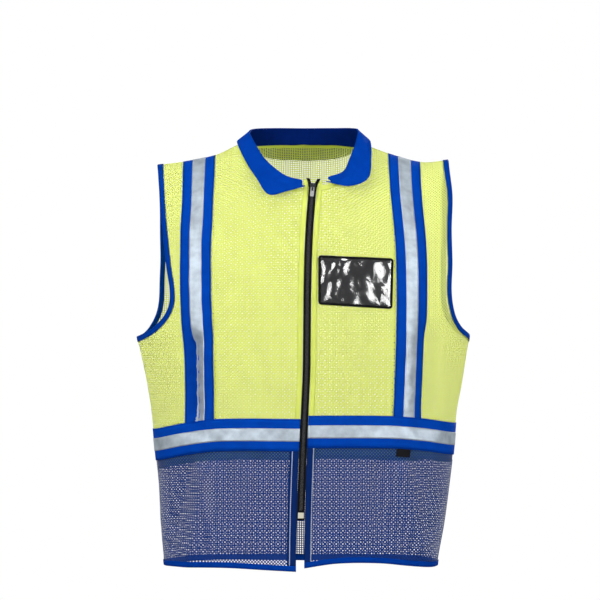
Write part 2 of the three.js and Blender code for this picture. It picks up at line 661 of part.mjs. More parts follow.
// Level strips round the vest: the waist band with its stripe, and the hem binding
const STRIPS = [
  { name: 'waist_band', line: bandHeight, top: TAPE_WIDTH / 2, low: -TAPE_WIDTH / 2, lift: 0,
      thick: TAPE_THICK, color: BLUE },
  { name: 'waist_stripe', line: bandHeight, top: STRIPE_WIDTH / 2, low: -STRIPE_WIDTH / 2,
      lift: STRIPE_LIFT, thick: STRIPE_THICK, color: SILVER },
  { name: 'hem_binding', line: hemHeight, top: BINDING_WIDTH, low: 0, lift: -0.9, thick: 3, color: BLUE },
];
for (const strip of STRIPS) {
  const top = above(strip.line, strip.top);
  const low = above(strip.line, strip.low);
  const isBand = strip.name === 'waist_band';
  const rows = isBand ? [0, 0.3, 0.7, 1] : [0, 1];
  for (const { side, name } of SIDES) {
    add(`${strip.name}_${name}`, shell(skirtColumns, rows, strip.lift, strip.lift + strip.thick,
      (k, r, lift) => placed('front', between('front', side, k, r, top, low), lift)), strip.color, 0.7);
  }
  add(`${strip.name}_back`, shell(mirrored(skirtColumns), rows, strip.lift, strip.lift + strip.thick,
    (k, r, lift) => placed('back', between('back', halfOf(k), Math.abs(k), r, top, low), lift)),
        strip.color, 0.7);
}

// Tapes over the shoulders with their stripes, down the front and, where r is negative, down the back
function tapePoint(side, k, r, lift) {
  const face = r < 0 ? 'back' : 'front';
  const down = r === 0 ? 0 : yokeDown(face, side, k, Math.abs(r));
  return cloth(face, lane(face, side, k, down), down, lift);
}
const stripeFrom = 1 + 15 / TAPE_WIDTH;
const stripeTo = stripeFrom + STRIPE_WIDTH / TAPE_WIDTH;
for (const { side, name } of SIDES) {
  const rows = [...yokeRows.slice(1).map((r) => -r).reverse(), ...yokeRows];
  add(`shoulder_tape_${name}`, shell([1, stripeFrom, stripeTo, 2], rows, 0, TAPE_THICK,
    (k, r, lift) => tapePoint(side, k, r, lift)), BLUE, 0.7);
  add(`shoulder_stripe_${name}`, shell([stripeFrom, stripeTo], rows, STRIPE_LIFT,
      STRIPE_LIFT + STRIPE_THICK,
    (k, r, lift) => tapePoint(side, k, r, lift)), SILVER, 0.5);
}

// Bindings round the armholes
function framesAlong(spots, closed, inwardSign) {
  const points = spots.map((s) => placed(s.face, s, 0));
  return spots.map((s, i) => {
    const count = spots.length;
    const before = points[closed ? (i + count - 1) % count : Math.max(0, i - 1)];
    const after = points[closed ? (i + 1) % count : Math.min(count - 1, i + 1)];
    const normal = placed(s.face, s, 1).sub(points[i]).normalize();
    const along = after.clone().sub(before).normalize();
    const inward = normal.clone().cross(along).multiplyScalar(inwardSign).normalize();
    return { point: points[i], normal, inward };
  });
}
const W = BINDING_WIDTH;
const bindingRing = [[0.5, -0.9], [W - 0.1, -0.9], [W, -0.4], [W, 1.7], [W - 0.8, 2.1], [0.8, 2.1],
    [0, 1.3], [0, -0.4]];
for (const { side, name } of SIDES) {
  const sign = side === 'left' ? -1 : 1;
  const spots = [
    ...armPath('front', side, 0).map((s) => ({ face: 'front', share: sign * s.share, down: s.down })),
    ...armPath('back', side, 0).map((s) => ({ face: 'back', share: sign * s.share,
        down: s.down })).reverse().slice(1, -1),
  ];
  add(`armhole_binding_${name}`, sweep(framesAlong(spots, true, -sign), bindingRing, true), BLUE);
}

// Collar: a stand that rises from the neckline and a fall turned down over it
function collarPoint(c, a) {
  const at = mix(COLLAR[0].neck, COLLAR[COLLAR.length - 1].neck, a);
  const value = (column) => smooth(COLLAR, 'neck', column, at) * NECK_HALF;
  const turn = (at * Math.PI) / 180;
  const x = NECK_HALF * Math.sin(turn);
  const face = Math.abs(at) > 90 ? 'front' : 'back';
  const down = neckDown(face, x);
  const edge = cloth(face, across(face, x, down), down, 0.6);
  const seat = edge.clone();
  const inwards = new THREE.Vector3(-seat.x, -seat.y - 10, 0).normalize();
  seat.addScaledVector(inwards, COLLAR_THICK / 2 + GAP + 2.8);
  const fold = new THREE.Vector3(value('foldX'), value('foldY'), value('foldZ'));
  const fall = new THREE.Vector3(value('fallX'), value('fallY'), value('fallZ'));
  const out = new THREE.Vector3(fall.x - seat.x, fall.y - seat.y, 0).normalize();
  const inside = fold.clone().addScaledVector(out, -1.7).add(new THREE.Vector3(0, 0, -2));
  const outside = fold.clone().addScaledVector(out, 1.7).add(new THREE.Vector3(0, 0, -2));
  const overEdge = (outside.z - edge.z - 1) / (outside.z - fall.z);
  const middle = outside.clone().lerp(fall, Math.min(0.75, Math.max(0.25, overEdge)));
  const short = COLLAR_THICK / 2 + CLOTH + 3.8 - middle.clone().sub(edge).dot(out);
  middle.addScaledVector(out, Math.max(short, 1));
  const overEdgePoint = edge.clone().addScaledVector(out,
      COLLAR_THICK / 2 + CLOTH + 1.6).add(new THREE.Vector3(0, 0, 1));
  middle.lerp(overEdgePoint, step(80, 105, Math.abs(at)));
  const points = [seat, seat.clone().lerp(inside, 0.5), inside, fold, outside, middle, fall];
  return points[c];
}
const collarRows = spaced(34);
const collarGrid = collarRows.map((a) => [0, 1, 2, 3, 4, 5, 6].map((c) => collarPoint(c, a)));
add('collar', shell([0, 1, 2, 3, 4, 5, 6], [...collarRows.keys()], -COLLAR_THICK / 2,
    COLLAR_THICK / 2, (c, r, lift) => {
  const row = collarGrid[r];
  const along = collarGrid[Math.min(34, r + 1)][c].clone().sub(collarGrid[Math.max(0, r - 1)][c]);
  const wide = row[Math.min(6, c + 1)].clone().sub(row[Math.max(0, c - 1)]);
  return row[c].clone().addScaledVector(along.cross(wide).normalize(), lift);
}), 0x0038a0);

// Zip: tape, coil, bottom stop
function zipPoint(run, z, lift) {
  const x = zipX(-z) + run;
  const down = downOf('front', x, z);
  return cloth('front', across('front', x, down), down, lift);
}
const zipHeights = (top, low, count) => spaced(count).map((a) => mix(top, low, a));
const ZIP_TOP = -62;
const ZIP_END = -567;
add('zip_tape', shell([-ZIP_WIDTH / 2, ZIP_WIDTH / 2], zipHeights(ZIP_TOP, ZIP_END - 12, 30), 0,
    CLOTH, zipPoint), BLACK);
add('zip_coil', shell([-COIL_WIDTH / 2, COIL_WIDTH / 2], zipHeights(ZIP_TOP - 4, ZIP_END, 30),
    CLOTH + GAP, 3, zipPoint), 0x2c2c30, 0.5);
add('zip_stop', shell([-4.4, 4.4], zipHeights(ZIP_END - GAP, ZIP_END - 9, 1), CLOTH + GAP, 3.6,
    zipPoint), 0xc8c6b0, 0.5);

// Zip slider, its bridge and the pull tab, shaped flat and then set on the cloth
const sliderZ = -67;
const seat = zipPoint(0, sliderZ, 0);
const sliderUp = zipPoint(0, sliderZ + 2, 0).sub(zipPoint(0, sliderZ - 2, 0)).normalize();
const sliderOut = zipPoint(0, sliderZ, 1).sub(seat).normalize();
const sliderAcross = sliderUp.clone().cross(sliderOut).normalize();
const onZip = new THREE.Matrix4().makeBasis(sliderAcross, sliderUp, sliderOut).setPosition(seat);
function plate(outline, holes, thick, rise) {
  const shape = new THREE.Shape(outline.map(([x, y]) => new THREE.Vector2(x, y)));
  for (const hole of holes) shape.holes.push(new THREE.Path(hole.map(([x, y]) => new THREE.Vector2(x,
      y))));
  const flat = new THREE.ExtrudeGeometry(shape, { depth: thick, bevelEnabled: false, steps: 1 });
  flat.deleteAttribute('uv');
  flat.translate(0, 0, rise);
  return flat;
}
const SLIDER_RISE = 3 + GAP;
const sliderOutline = [[-3.2, 6], [3.2, 6], [4.6, 3.5], [3.9, -4.5], [2.6, -6], [-2.6, -6], [-3.9,
    -4.5], [-4.6, 3.5]];
add('zip_slider', plate(sliderOutline, [], 2, SLIDER_RISE).applyMatrix4(onZip), 0x3a3d42, 0.4, 0.8);
const bridgeOutline = [[-4.5, 0], [-3, 0], [-3, 2.3], [-1.6, 3], [1.6, 3], [3, 2.3], [3, 0], [4.5, 0],
    [4.5, 2.6], [2.6, 4.3], [-2.6, 4.3], [-4.5, 2.6]];
const bridge = plate(bridgeOutline, [], 1.6, -0.8);
bridge.applyMatrix4(new THREE.Matrix4().makeBasis(new THREE.Vector3(0, 1, 0), new THREE.Vector3(0, 0,
    1), new THREE.Vector3(1, 0, 0)));
bridge.translate(0, 0, SLIDER_RISE + 2 + 0.1);
add('zip_bridge', bridge.applyMatrix4(onZip), 0x3a3d42, 0.4, 0.8);
const PULL_PIVOT_UP = -2.1;
const PULL_RISE = SLIDER_RISE + 2 + 1.5;
const pullOutline = [[-2.6, 0.6], [2.6, 0.6], [2.9, -7], [3, -13], [2.2, -15], [-2.2, -15], [-3, -13],
    [-2.9, -7]];
const pullEye = [[-1.5, -0.6], [-1.5, -5.6], [1.5, -5.6], [1.5, -0.6]];
const pull = plate(pullOutline, [pullEye], 1.1, -0.55);
pull.translate(0, PULL_PIVOT_UP, PULL_RISE);
add('zip_pull', pull.applyMatrix4(onZip), 0xc9ccd0, 0.4, 0.5);

// Card pocket: back sheet, clear window and a bound rim
const pocketSpot = (u, v) => {
  const x = mix(mix(POCKET[0].x, POCKET[1].x, u), mix(POCKET[3].x, POCKET[2].x, u), v) * HALF_WIDTH;
  const z = mix(mix(POCKET[0].z, POCKET[1].z, u), mix(POCKET[3].z, POCKET[2].z, u), v) * LENGTH;
  return place('front', x, z);
};
const rimU = (POCKET_RIM + GAP) / POCKET_WIDTH;
const rimV = (POCKET_RIM + GAP) / POCKET_HEIGHT;
const pocketAt = (c, r, lift) => placed('front', pocketSpot(mix(rimU, 1 - rimU, c), mix(rimV,
    1 - rimV, r)), lift);
add('pocket_back', shell(spaced(8), spaced(4), POCKET_LIFT, POCKET_LIFT + 1, pocketAt), 0x1c1c20);
add('pocket_window', shell(spaced(8), spaced(4), POCKET_LIFT + 1 + GAP, POCKET_LIFT + 2 + GAP,
    pocketAt), 0x9aa0a8, 0.15);
const rimPath = [];
const edgeSteps = spaced(6).slice(0, -1);
for (const a of edgeSteps) rimPath.push([mix(0, 1, a), 0]);
for (const a of edgeSteps) rimPath.push([1, a]);
for (const a of edgeSteps) rimPath.push([1 - a, 1]);
for (const a of edgeSteps) rimPath.push([0, 1 - a]);
const inner = (value, margin) => mix(margin, 1 - margin, value);
const rimRing = [[0, POCKET_LIFT], [1, POCKET_LIFT], [1, POCKET_LIFT + 2.6], [0, POCKET_LIFT + 2.6]];
const rimPositions = [];
const rimFaces = [];
for (const [u, v] of rimPath) {
  for (const [inwards, lift] of rimRing) {
    const p = placed('front', pocketSpot(inner(u, (inwards * POCKET_RIM) / POCKET_WIDTH), inner(v,
        (inwards * POCKET_RIM) / POCKET_HEIGHT)), lift);
    rimPositions.push(p.x, p.y, p.z);
  }
}
for (let i = 0; i < rimPath.length; i += 1) {
  const next = (i + 1) % rimPath.length;
  for (let k = 0; k < 4; k += 1) {
    const a = i * 4 + k;
    const b = i * 4 + ((k + 1) % 4);
    rimFaces.push(a, b, next * 4 + ((k + 1) % 4), a, next * 4 + ((k + 1) % 4), next * 4 + k);
  }
}
add('pocket_rim', solid(rimPositions, rimFaces), BLACK);

// Small bare tag under the band
add('side_tag', shell(spaced(2), spaced(1), POCKET_LIFT + 0.2, POCKET_LIFT + 1, (c, r, lift) => {
  const x = mix(143, 164, c) - 2 * r;
  return placed('front', place('front', x, bandHeight('front', x) - TAPE_WIDTH / 2 - GAP - 12 * r), lift);
}), BLACK);

export default vest;
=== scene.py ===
# A mesh work vest as it hangs when worn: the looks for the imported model.
# Blender works in metres. The sizes of the cloth are in millimetres, as they are for the solids.
import math

import bmesh
import bpy
import numpy as np
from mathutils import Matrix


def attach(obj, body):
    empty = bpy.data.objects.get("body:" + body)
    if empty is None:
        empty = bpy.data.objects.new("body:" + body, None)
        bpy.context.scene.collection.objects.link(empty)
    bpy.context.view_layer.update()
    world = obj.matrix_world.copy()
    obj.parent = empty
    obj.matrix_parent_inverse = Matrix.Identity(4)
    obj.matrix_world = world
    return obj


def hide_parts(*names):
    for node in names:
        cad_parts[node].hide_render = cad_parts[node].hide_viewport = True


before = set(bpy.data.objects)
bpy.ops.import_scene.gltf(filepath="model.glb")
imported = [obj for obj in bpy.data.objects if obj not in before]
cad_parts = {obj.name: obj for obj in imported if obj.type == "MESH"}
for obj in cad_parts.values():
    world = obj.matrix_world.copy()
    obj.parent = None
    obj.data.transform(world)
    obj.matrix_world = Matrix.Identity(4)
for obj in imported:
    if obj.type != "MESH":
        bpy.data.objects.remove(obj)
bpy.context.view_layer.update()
rng = np.random.default_rng(7)

# Upper panels: lime polyester net, a right front, a left front and one back. Each is cut flat and hangs
# from the shoulders, and its edges are sewn under the tapes, the band and the bindings.
# The shape that the cloth takes when worn comes first, from the same sizes and tables as the solids.
# Tables are in shares of HALF_WIDTH across and of LENGTH down, unless they say otherwise.
FRONT, BACK = 0, 1
RIGHT, LEFT = 0, 1
SIDES = ((RIGHT, "right"), (LEFT, "left"))
SIGN = (-1, 1)
HALF_WIDTH = 258.0
LENGTH = 656.0
DEPTH = (122.0, 124.0)
SQUARENESS = 2.4
# For the front, then the back: distance down the cloth, drop, and depth as a share of DEPTH
PROFILES = [
    [(-0.052, 0.012, -0.26), (0, 0, 0), (0.052, 0.012, 0.26), (0.096, 0.038, 0.46), (0.152, 0.084, 0.64),
     (0.227, 0.152, 0.80), (0.322, 0.244, 0.93), (0.43, 0.351, 1.0), (0.567, 0.488, 0.98), (0.735, 0.655, 0.92),
     (0.933, 0.853, 0.94), (1.1, 1.02, 0.99)],
    [(-0.054, 0.009, -0.28), (0, 0, 0), (0.054, 0.009, 0.28), (0.1, 0.03, 0.5), (0.16, 0.074, 0.72),
     (0.245, 0.15, 0.9), (0.362, 0.264, 1.0), (0.499, 0.4, 0.98), (0.71, 0.61, 0.87), (0.892, 0.792, 0.9),
     (1.12, 1.02, 1.0)],
]
# Drop, half width on the right as worn, half width on the left
WIDTHS = [
    (0, 1.015, 1.015), (0.36, 1.015, 1.012), (0.45, 1.004, 0.996), (0.482, 0.985, 0.982), (0.563, 0.942, 0.95),
    (0.631, 0.915, 0.918), (0.72, 0.893, 0.9), (0.8, 0.872, 0.876), (0.9, 0.859, 0.842), (1.02, 0.832, 0.78),
]
# Distance out from the middle, height of the shoulder line on the right, height on the left
RIDGE = [
    (0, 0.03, 0.03), (0.2, 0.024, 0.024), (0.39, 0.002, -0.002), (0.53, -0.023, -0.022), (0.71, -0.038, -0.04),
    (0.89, -0.047, -0.034), (1.02, -0.053, -0.03),
]
# Folds: face, start across and drop, end across and drop, breadth, and height in millimetres
FOLDS = [
    (0, -0.665, 0.42, -0.655, 0.66, 0.05, -15), (0, -0.57, 0.44, -0.575, 0.7, 0.05, 5),
    (0, 0.77, 0.4, 0.735, 0.66, 0.07, -11), (0, 0.62, 0.4, 0.6, 0.68, 0.06, 4),
    (0, -0.55, 0.72, -0.69, 1.02, 0.06, 7), (0, -0.67, 0.72, -0.8, 0.95, 0.035, -6),
    (0, 0.56, 0.71, 0.74, 1.02, 0.06, 7), (0, 0.42, 0.73, 0.5, 1.02, 0.06, -5),
    (0, 0.3, 0.3, 0.14, 0.62, 0.06, 3), (0, -0.36, 0.18, -0.16, 0.56, 0.07, 3),
    (1, -0.4, 0.46, -0.3, 0.9, 0.08, 7), (1, 0.36, 0.44, 0.42, 0.92, 0.08, 7),
    (1, 0.02, 0.5, 0.05, 1.02, 0.07, -6), (1, -0.66, 0.6, -0.6, 1.02, 0.05, -6),
]


def smooth(rows, column, at):
    """The smooth curve through one column of a table, at places in its first column."""
    table = np.array(rows, float)
    keys = table[:, 0]
    values = table[:, column]
    at = np.asarray(at, float)
    last = len(keys) - 1
    i = np.clip(np.searchsorted(keys, at, side="left") - 1, 0, last - 1)
    span = keys[i + 1] - keys[i]
    share = np.clip((at - keys[i]) / span, 0, 1)
    low = np.maximum(i - 1, 0)
    high = np.minimum(i + 2, last)
    slope_a = (values[i + 1] - values[low]) / (keys[i + 1] - keys[low]) * span
    slope_b = (values[high] - values[i]) / (keys[high] - keys[i]) * span
    s2 = share**2
    s3 = share**3
    return ((2 * s3 - 3 * s2 + 1) * values[i] + (s3 - 2 * s2 + share) * slope_a
            + (3 * s2 - 2 * s3) * values[i + 1] + (s3 - s2) * slope_b)


def step(low, high, at):
    """Rises smoothly from 0 at low to 1 at high."""
    share = np.clip((at - low) / (high - low), 0, 1)
    return share * share * (3 - 2 * share)


def sided(rows, key, x):
    """The table's value for the right side as worn, where x is under 0, and for the left elsewhere."""
    return np.where(np.asarray(x) < 0, smooth(rows, 1, key), smooth(rows, 2, key))


def drop_of(face, down):
    return smooth(PROFILES[face], 1, down / LENGTH) * LENGTH


def shoulder_share(drop):
    """How much of the shoulder line's slope is left at a drop: all at the top, none well below the chest."""
    return 1 - step(0, 0.4 * LENGTH, drop)


# Each face is a lattice of points, with rows every 4 mm down the cloth and even columns from seam to seam
ROW_STEP = 4.0
COLUMNS = 241
DOWNS = np.arange(0, 724, ROW_STEP)
SHARES = np.linspace(-1, 1, COLUMNS)
PLAIN = []
WORN = []
OUTWARD = []
RUN = []
for face in (FRONT, BACK):
    drop = drop_of(face, DOWNS)
    depth = smooth(PROFILES[face], 2, DOWNS / LENGTH) * DEPTH[face]
    turn = np.linspace(0, math.pi / 2, COLUMNS)
    reach = (np.sin(turn) ** SQUARENESS + np.abs(np.cos(turn)) ** SQUARENESS) ** (-1 / SQUARENESS)
    points = np.zeros((len(DOWNS), COLUMNS, 3))
    runs = np.zeros((len(DOWNS), 2))
    for i in range(len(DOWNS)):
        for side in (RIGHT, LEFT):
            half = smooth(WIDTHS, 1 + side, drop[i] / LENGTH) * HALF_WIDTH
            x = half * reach * np.sin(turn)
            y = depth[i] * reach * np.cos(turn)
            length = np.concatenate([[0], np.cumsum(np.hypot(np.diff(x), np.diff(y)))])
            mine = SHARES < 0 if side == RIGHT else SHARES >= 0
            wanted = np.abs(SHARES[mine]) * length[-1]
            points[i, mine, 0] = np.interp(wanted, length, x) * SIGN[side]
            points[i, mine, 1] = np.interp(wanted, length, y) * SIGN[face]
            runs[i, side] = length[-1]
    ridge = sided(RIDGE, np.abs(points[..., 0]) / HALF_WIDTH, points[..., 0]) * LENGTH
    points[..., 2] = ridge * shoulder_share(drop)[:, None] - drop[:, None]
    outward = np.cross(np.gradient(points, axis=1), np.gradient(points, axis=0))
    outward /= np.maximum(np.linalg.norm(outward, axis=2, keepdims=True), 1e-9)
    if outward[60, COLUMNS // 2, 1] * SIGN[face] < 0:
        outward = -outward
    lift = np.zeros(points.shape[:2])
    across = points[..., 0] / HALF_WIDTH
    fall = -points[..., 2] / LENGTH
    for on, x0, drop0, x1, drop1, breadth, high in FOLDS:
        if on == face:
            along = (fall - drop0) / (drop1 - drop0)
            window = step(0, 0.25, along) * (1 - step(0.8, 1.15, along))
            lift += high * window * np.exp(-(((across - x0 - (x1 - x0) * along) / breadth) ** 2))
    PLAIN.append(points)
    WORN.append(points + outward * lift[..., None])
    OUTWARD.append(outward)
    RUN.append(runs)

# Small slack in the cloth, the same for every layer so that they stay together
for face in (FRONT, BACK):
    x = PLAIN[face][..., 0]
    z = PLAIN[face][..., 2]
    slack = np.zeros(x.shape)
    for k in range(26):
        angle = rng.normal(0, 0.55)
        size = rng.uniform(22, 70)
        start = rng.uniform(0, 6.3)
        middle_x = rng.uniform(-230, 230)
        middle_z = rng.uniform(-640, -60)
        wave = np.sin((x * math.cos(angle) + z * math.sin(angle)) * 2 * math.pi / size + start)
        patch = np.exp(-(((x - middle_x) / 60) ** 2 + ((z - middle_z) / 80) ** 2))
        slack += size * 0.022 * wave * patch
    slack *= step(0, 80, DOWNS)[:, None] * (1 - step(0.93, 1, np.abs(SHARES)))[None, :]
    WORN[face] = WORN[face] + OUTWARD[face] * slack[..., None]


def read(values, share, down):
    """The lattice's values at shares of the way across and distances down."""
    i = np.clip(np.asarray(down, float) / ROW_STEP, 0, len(DOWNS) - 1.001)
    j = np.clip((np.asarray(share, float) + 1) * (COLUMNS - 1) / 2, 0, COLUMNS - 1.001)
    i0 = i.astype(int)
    j0 = j.astype(int)
    a = (i - i0)[..., None]
    b = (j - j0)[..., None]
    return ((1 - a) * ((1 - b) * values[i0, j0] + b * values[i0, j0 + 1])
            + a * ((1 - b) * values[i0 + 1, j0] + b * values[i0 + 1, j0 + 1]))


def seam_run(face, side, down):
    """How far the cloth runs from the middle to the side seam at a distance down."""
    return np.interp(down, DOWNS, RUN[face][:, side])


def worn(face, run, down, lift):
    """Points in metres for arrays of face, run across, distance down and height over the cloth."""
    face, run, down, lift = np.broadcast_arrays(np.asarray(face), run, down, lift)
    result = np.zeros(run.shape + (3,))
    for f in (FRONT, BACK):
        mine = face == f
        if mine.any():
            r = run[mine]
            d = down[mine]
            share = r / np.where(r < 0, seam_run(f, RIGHT, d), seam_run(f, LEFT, d))
            result[mine] = read(WORN[f], share, d) + read(OUTWARD[f], share, d) * lift[mine][..., None]
    return result / 1000


def run_at(face, x, down):
    """Run across of the place that is x from the middle at a distance down."""
    down = np.atleast_1d(np.asarray(down, float))
    x = np.broadcast_to(np.asarray(x, float), down.shape)
    found = np.zeros(down.shape)
    for n, (d, value) in enumerate(zip(down, x)):
        i = min(int(d / ROW_STEP), len(DOWNS) - 2)
        a = np.clip(d / ROW_STEP - i, 0, 1)
        row = (1 - a) * PLAIN[face][i, :, 0] + a * PLAIN[face][i + 1, :, 0]
        share = np.interp(value, row, SHARES)
        found[n] = share * seam_run(face, RIGHT if share < 0 else LEFT, d)
    return found


def down_at(face, x, z):
    """Distance down of the place seen from the front at x, z."""
    x, z = np.broadcast_arrays(np.atleast_1d(np.asarray(x, float)), np.asarray(z, float))
    drop = drop_of(face, DOWNS)
    fade = shoulder_share(drop)
    found = []
    for one_x, one_z in zip(x, z):
        rise = sided(RIDGE, abs(one_x) / HALF_WIDTH, one_x) * LENGTH * fade
        found.append(np.interp(-one_z, drop - rise, DOWNS))
    return np.array(found)


# The armhole edge: drop, then how far out it is on the front right, front left, back right and back left
ARMHOLES = [
    (0, 0.885, 0.872, 0.886, 0.872), (0.05, 0.88, 0.875, 0.884, 0.872), (0.12, 0.866, 0.892, 0.876, 0.872),
    (0.2, 0.848, 0.885, 0.873, 0.87), (0.28, 0.825, 0.888, 0.873, 0.866), (0.34, 0.803, 0.882, 0.876, 0.864),
    (0.375, 0.805, 0.89, 0.885, 0.87), (0.405, 0.84, 0.912, 0.903, 0.89), (0.43, 0.9, 0.95, 0.935, 0.935),
    (0.445, 0.96, 0.99, 0.97, 0.985), (0.452, 1.004, 0.996, 1.004, 0.996),
]
# The zip: drop, and how far it is from the middle
ZIP_LINE = [
    (0.06, 0.062), (0.14, 0.044), (0.22, 0.03), (0.32, 0.022), (0.45, 0.018), (0.54, 0.015), (0.645, 0.003),
    (0.75, -0.008), (0.87, -0.018), (1.02, -0.024),
]
# The middle of the waist band: distance out, then its drop on the front right, front left and back
BAND_LINE = [
    (0, 0.683, 0.675, 0.69), (0.5, 0.683, 0.676, 0.692), (0.72, 0.694, 0.683, 0.697),
    (0.92, 0.71, 0.695, 0.703), (1.05, 0.71, 0.695, 0.703),
]
ZIP_WIDTH = 12.0
NECK_HALF = 96.0
NECK_DEPTH = (127.0, 60.0)
NECK_SQUARENESS = 2.6


def zip_x(z):
    return smooth(ZIP_LINE, 1, -np.asarray(z) / LENGTH) * HALF_WIDTH


def neck_top(face):
    """The neckline as a function of the run across."""

    def top(run):
        share = np.clip(np.abs(run) / (NECK_HALF * (1.04, 1.02)[face]), 0, 1)
        return NECK_DEPTH[face] * (1 - share**NECK_SQUARENESS) ** (1 / NECK_SQUARENESS)

    return top


def level(rows, face, rise):
    """A level line round the vest as a function of the run across, raised by rise."""
    runs = np.linspace(-320, 320, 161)
    down = np.full(runs.shape, 450.0 if rows is BAND_LINE else 680.0)
    for turn in range(4):
        limit = np.where(runs < 0, seam_run(face, RIGHT, down), seam_run(face, LEFT, down))
        x = read(PLAIN[face], np.clip(runs, -limit, limit) / limit, down)[..., 0]
        out = np.abs(x) / HALF_WIDTH
        drop = sided(rows, out, x)
        if face == BACK:
            drop = smooth(rows, 3, out) + (drop - smooth(rows, 3, out)) * step(0.6, 0.85, out)
        down = down_at(face, x, -drop * LENGTH + rise)
    return lambda run: np.interp(run, runs, down)


def front_inner(side, away):
    """The front edge as a function of the distance down, away from the zip tape."""
    downs = np.arange(60, 716, 8.0)
    drop = drop_of(FRONT, downs)
    z = 0.03 * LENGTH * shoulder_share(drop) - drop
    runs = run_at(FRONT, zip_x(z) + SIGN[side] * (ZIP_WIDTH / 2 + away), downs)
    return lambda down: np.interp(down, downs, runs)


def arm_path(face, side):
    """The armhole edge from the shoulder to the underarm: runs, distances down and inward directions."""
    sign = SIGN[side]
    top = -float(sided(RIDGE, 0.88, sign))
    drop = top + (0.452 - top) * np.sin(np.linspace(0, 1, 90) * math.pi / 2)
    x = sign * smooth(ARMHOLES, 1 + side + 2 * face, drop) * HALF_WIDTH
    down = down_at(face, x, -drop * LENGTH)
    down[0] = 0
    run = np.abs(run_at(face, x, down))
    run[-1] = seam_run(face, side, down[-1])
    tangent = np.stack([np.gradient(run), np.gradient(down)], 1)
    tangent /= np.linalg.norm(tangent, axis=1, keepdims=True)
    inward = np.stack([-tangent[:, 1], tangent[:, 0]], 1)
    inward[0] = (-1, 0)
    inward[-1] = (0, 1)
    return run, down, inward


def grid(name, across, along):
    """A flat grid, 1 by 1, which is the start of a cloth piece."""
    bpy.ops.object.select_all(action="DESELECT")
    bpy.ops.mesh.primitive_grid_add(x_subdivisions=across, y_subdivisions=along, size=1, location=(0.5, 0.5, 0))
    bpy.ops.object.transform_apply(location=True, rotation=True, scale=True)
    piece = bpy.context.object
    piece.name = name
    piece.data.name = name
    return piece


def corners_of(piece):
    values = np.empty(len(piece.data.vertices) * 3)
    piece.data.vertices.foreach_get("co", values)
    return values.reshape(-1, 3)


def dress(piece, points, pattern, bake=False):
    """Moves the vertices to points, and keeps each vertex's place in the pattern as a UV map in mm."""
    loops = np.empty(len(piece.data.loops), int)
    piece.data.loops.foreach_get("vertex_index", loops)
    for layer in list(piece.data.uv_layers):
        piece.data.uv_layers.remove(layer)
    maps = [("pattern", pattern)]
    if bake:
        maps.append(("OFBake", (pattern - pattern.min(0)) / (max(np.ptp(pattern, axis=0)) * 1.01)))
    for name, values in maps:
        layer = piece.data.uv_layers.new(name=name)
        layer.data.foreach_set("uv", values[loops].astype(np.float32).ravel())
    piece.data.vertices.foreach_set("co", points.ravel())
    piece.data.update()


def finish_piece(piece, nodes, made):
    piece.data.materials.clear()
    piece.data.materials.append(made)
    for polygon in piece.data.polygons:
        polygon.use_smooth = True
    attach(piece, "vest")
    if nodes:
        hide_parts(*nodes)


def node_group(name, inputs, outputs):
    """A shader node group with named inputs and their values, and named outputs of a kind each."""
    group = bpy.data.node_groups.new(name, "ShaderNodeTree")
    for label, value in inputs:
        kind = "NodeSocketColor" if isinstance(value, tuple) else "NodeSocketFloat"
        group.interface.new_socket(label, in_out="INPUT", socket_type=kind).default_value = value
    for label, kind in outputs:
        group.interface.new_socket(label, in_out="OUTPUT", socket_type=kind)
    return group, group.nodes.new("NodeGroupInput").outputs, group.nodes.new("NodeGroupOutput").inputs


def sum_node(tree, operation, *given):
    """A Math node with a number or another node's output on each input."""
    node = tree.nodes.new("ShaderNodeMath")
    node.operation = operation
    for socket, value in zip(node.inputs, given):
        if isinstance(value, (int, float)):
            socket.default_value = value
        else:
            tree.links.new(value, socket)
    return node.outputs[0]


# Weave: crossed threads as a height, and slow changes of tone, both laid out on the pattern
weave, given, result = node_group(
    "Weave",
    [("Color", (0.5, 0.5, 0.5, 1)), ("Pitch", 0.8), ("Tone", 0.15)],
    [("Color", "NodeSocketColor"), ("Height", "NodeSocketFloat")],
)
where = weave.nodes.new("ShaderNodeUVMap")
where.uv_map = "pattern"
scaled = weave.nodes.new("ShaderNodeVectorMath")
scaled.operation = "SCALE"
weave.links.new(where.outputs["UV"], scaled.inputs[0])
weave.links.new(sum_node(weave, "DIVIDE", 2 * math.pi, given["Pitch"]), scaled.inputs["Scale"])
parts = weave.nodes.new("ShaderNodeSeparateXYZ")
weave.links.new(scaled.outputs["Vector"], parts.inputs["Vector"])
warp = sum_node(weave, "SINE", parts.outputs["X"])
weft = sum_node(weave, "SINE", parts.outputs["Y"])
weave.links.new(sum_node(weave, "MULTIPLY", warp, weft), result["Height"])
noise = weave.nodes.new("ShaderNodeTexNoise")
noise.inputs["Scale"].default_value = 0.05
noise.inputs["Detail"].default_value = 7
weave.links.new(where.outputs["UV"], noise.inputs["Vector"])
centred = sum_node(weave, "MULTIPLY_ADD", noise.outputs["Fac"], 4, -2)
tone = sum_node(weave, "MULTIPLY_ADD", centred, given["Tone"], 1)
shade = weave.nodes.new("ShaderNodeVectorMath")
shade.operation = "SCALE"
weave.links.new(given["Color"], shade.inputs[0])
weave.links.new(tone, shade.inputs["Scale"])
weave.links.new(shade.outputs["Vector"], result["Color"])


def material(name, color, roughness, metallic=0.0):
    made = bpy.data.materials.new(name)
    made.use_nodes = True
    surface = made.node_tree.nodes["Principled BSDF"]
    surface.inputs["Base Color"].default_value = (*color, 1)
    surface.inputs["Roughness"].default_value = roughness
    surface.inputs["Metallic"].default_value = metallic
    return made


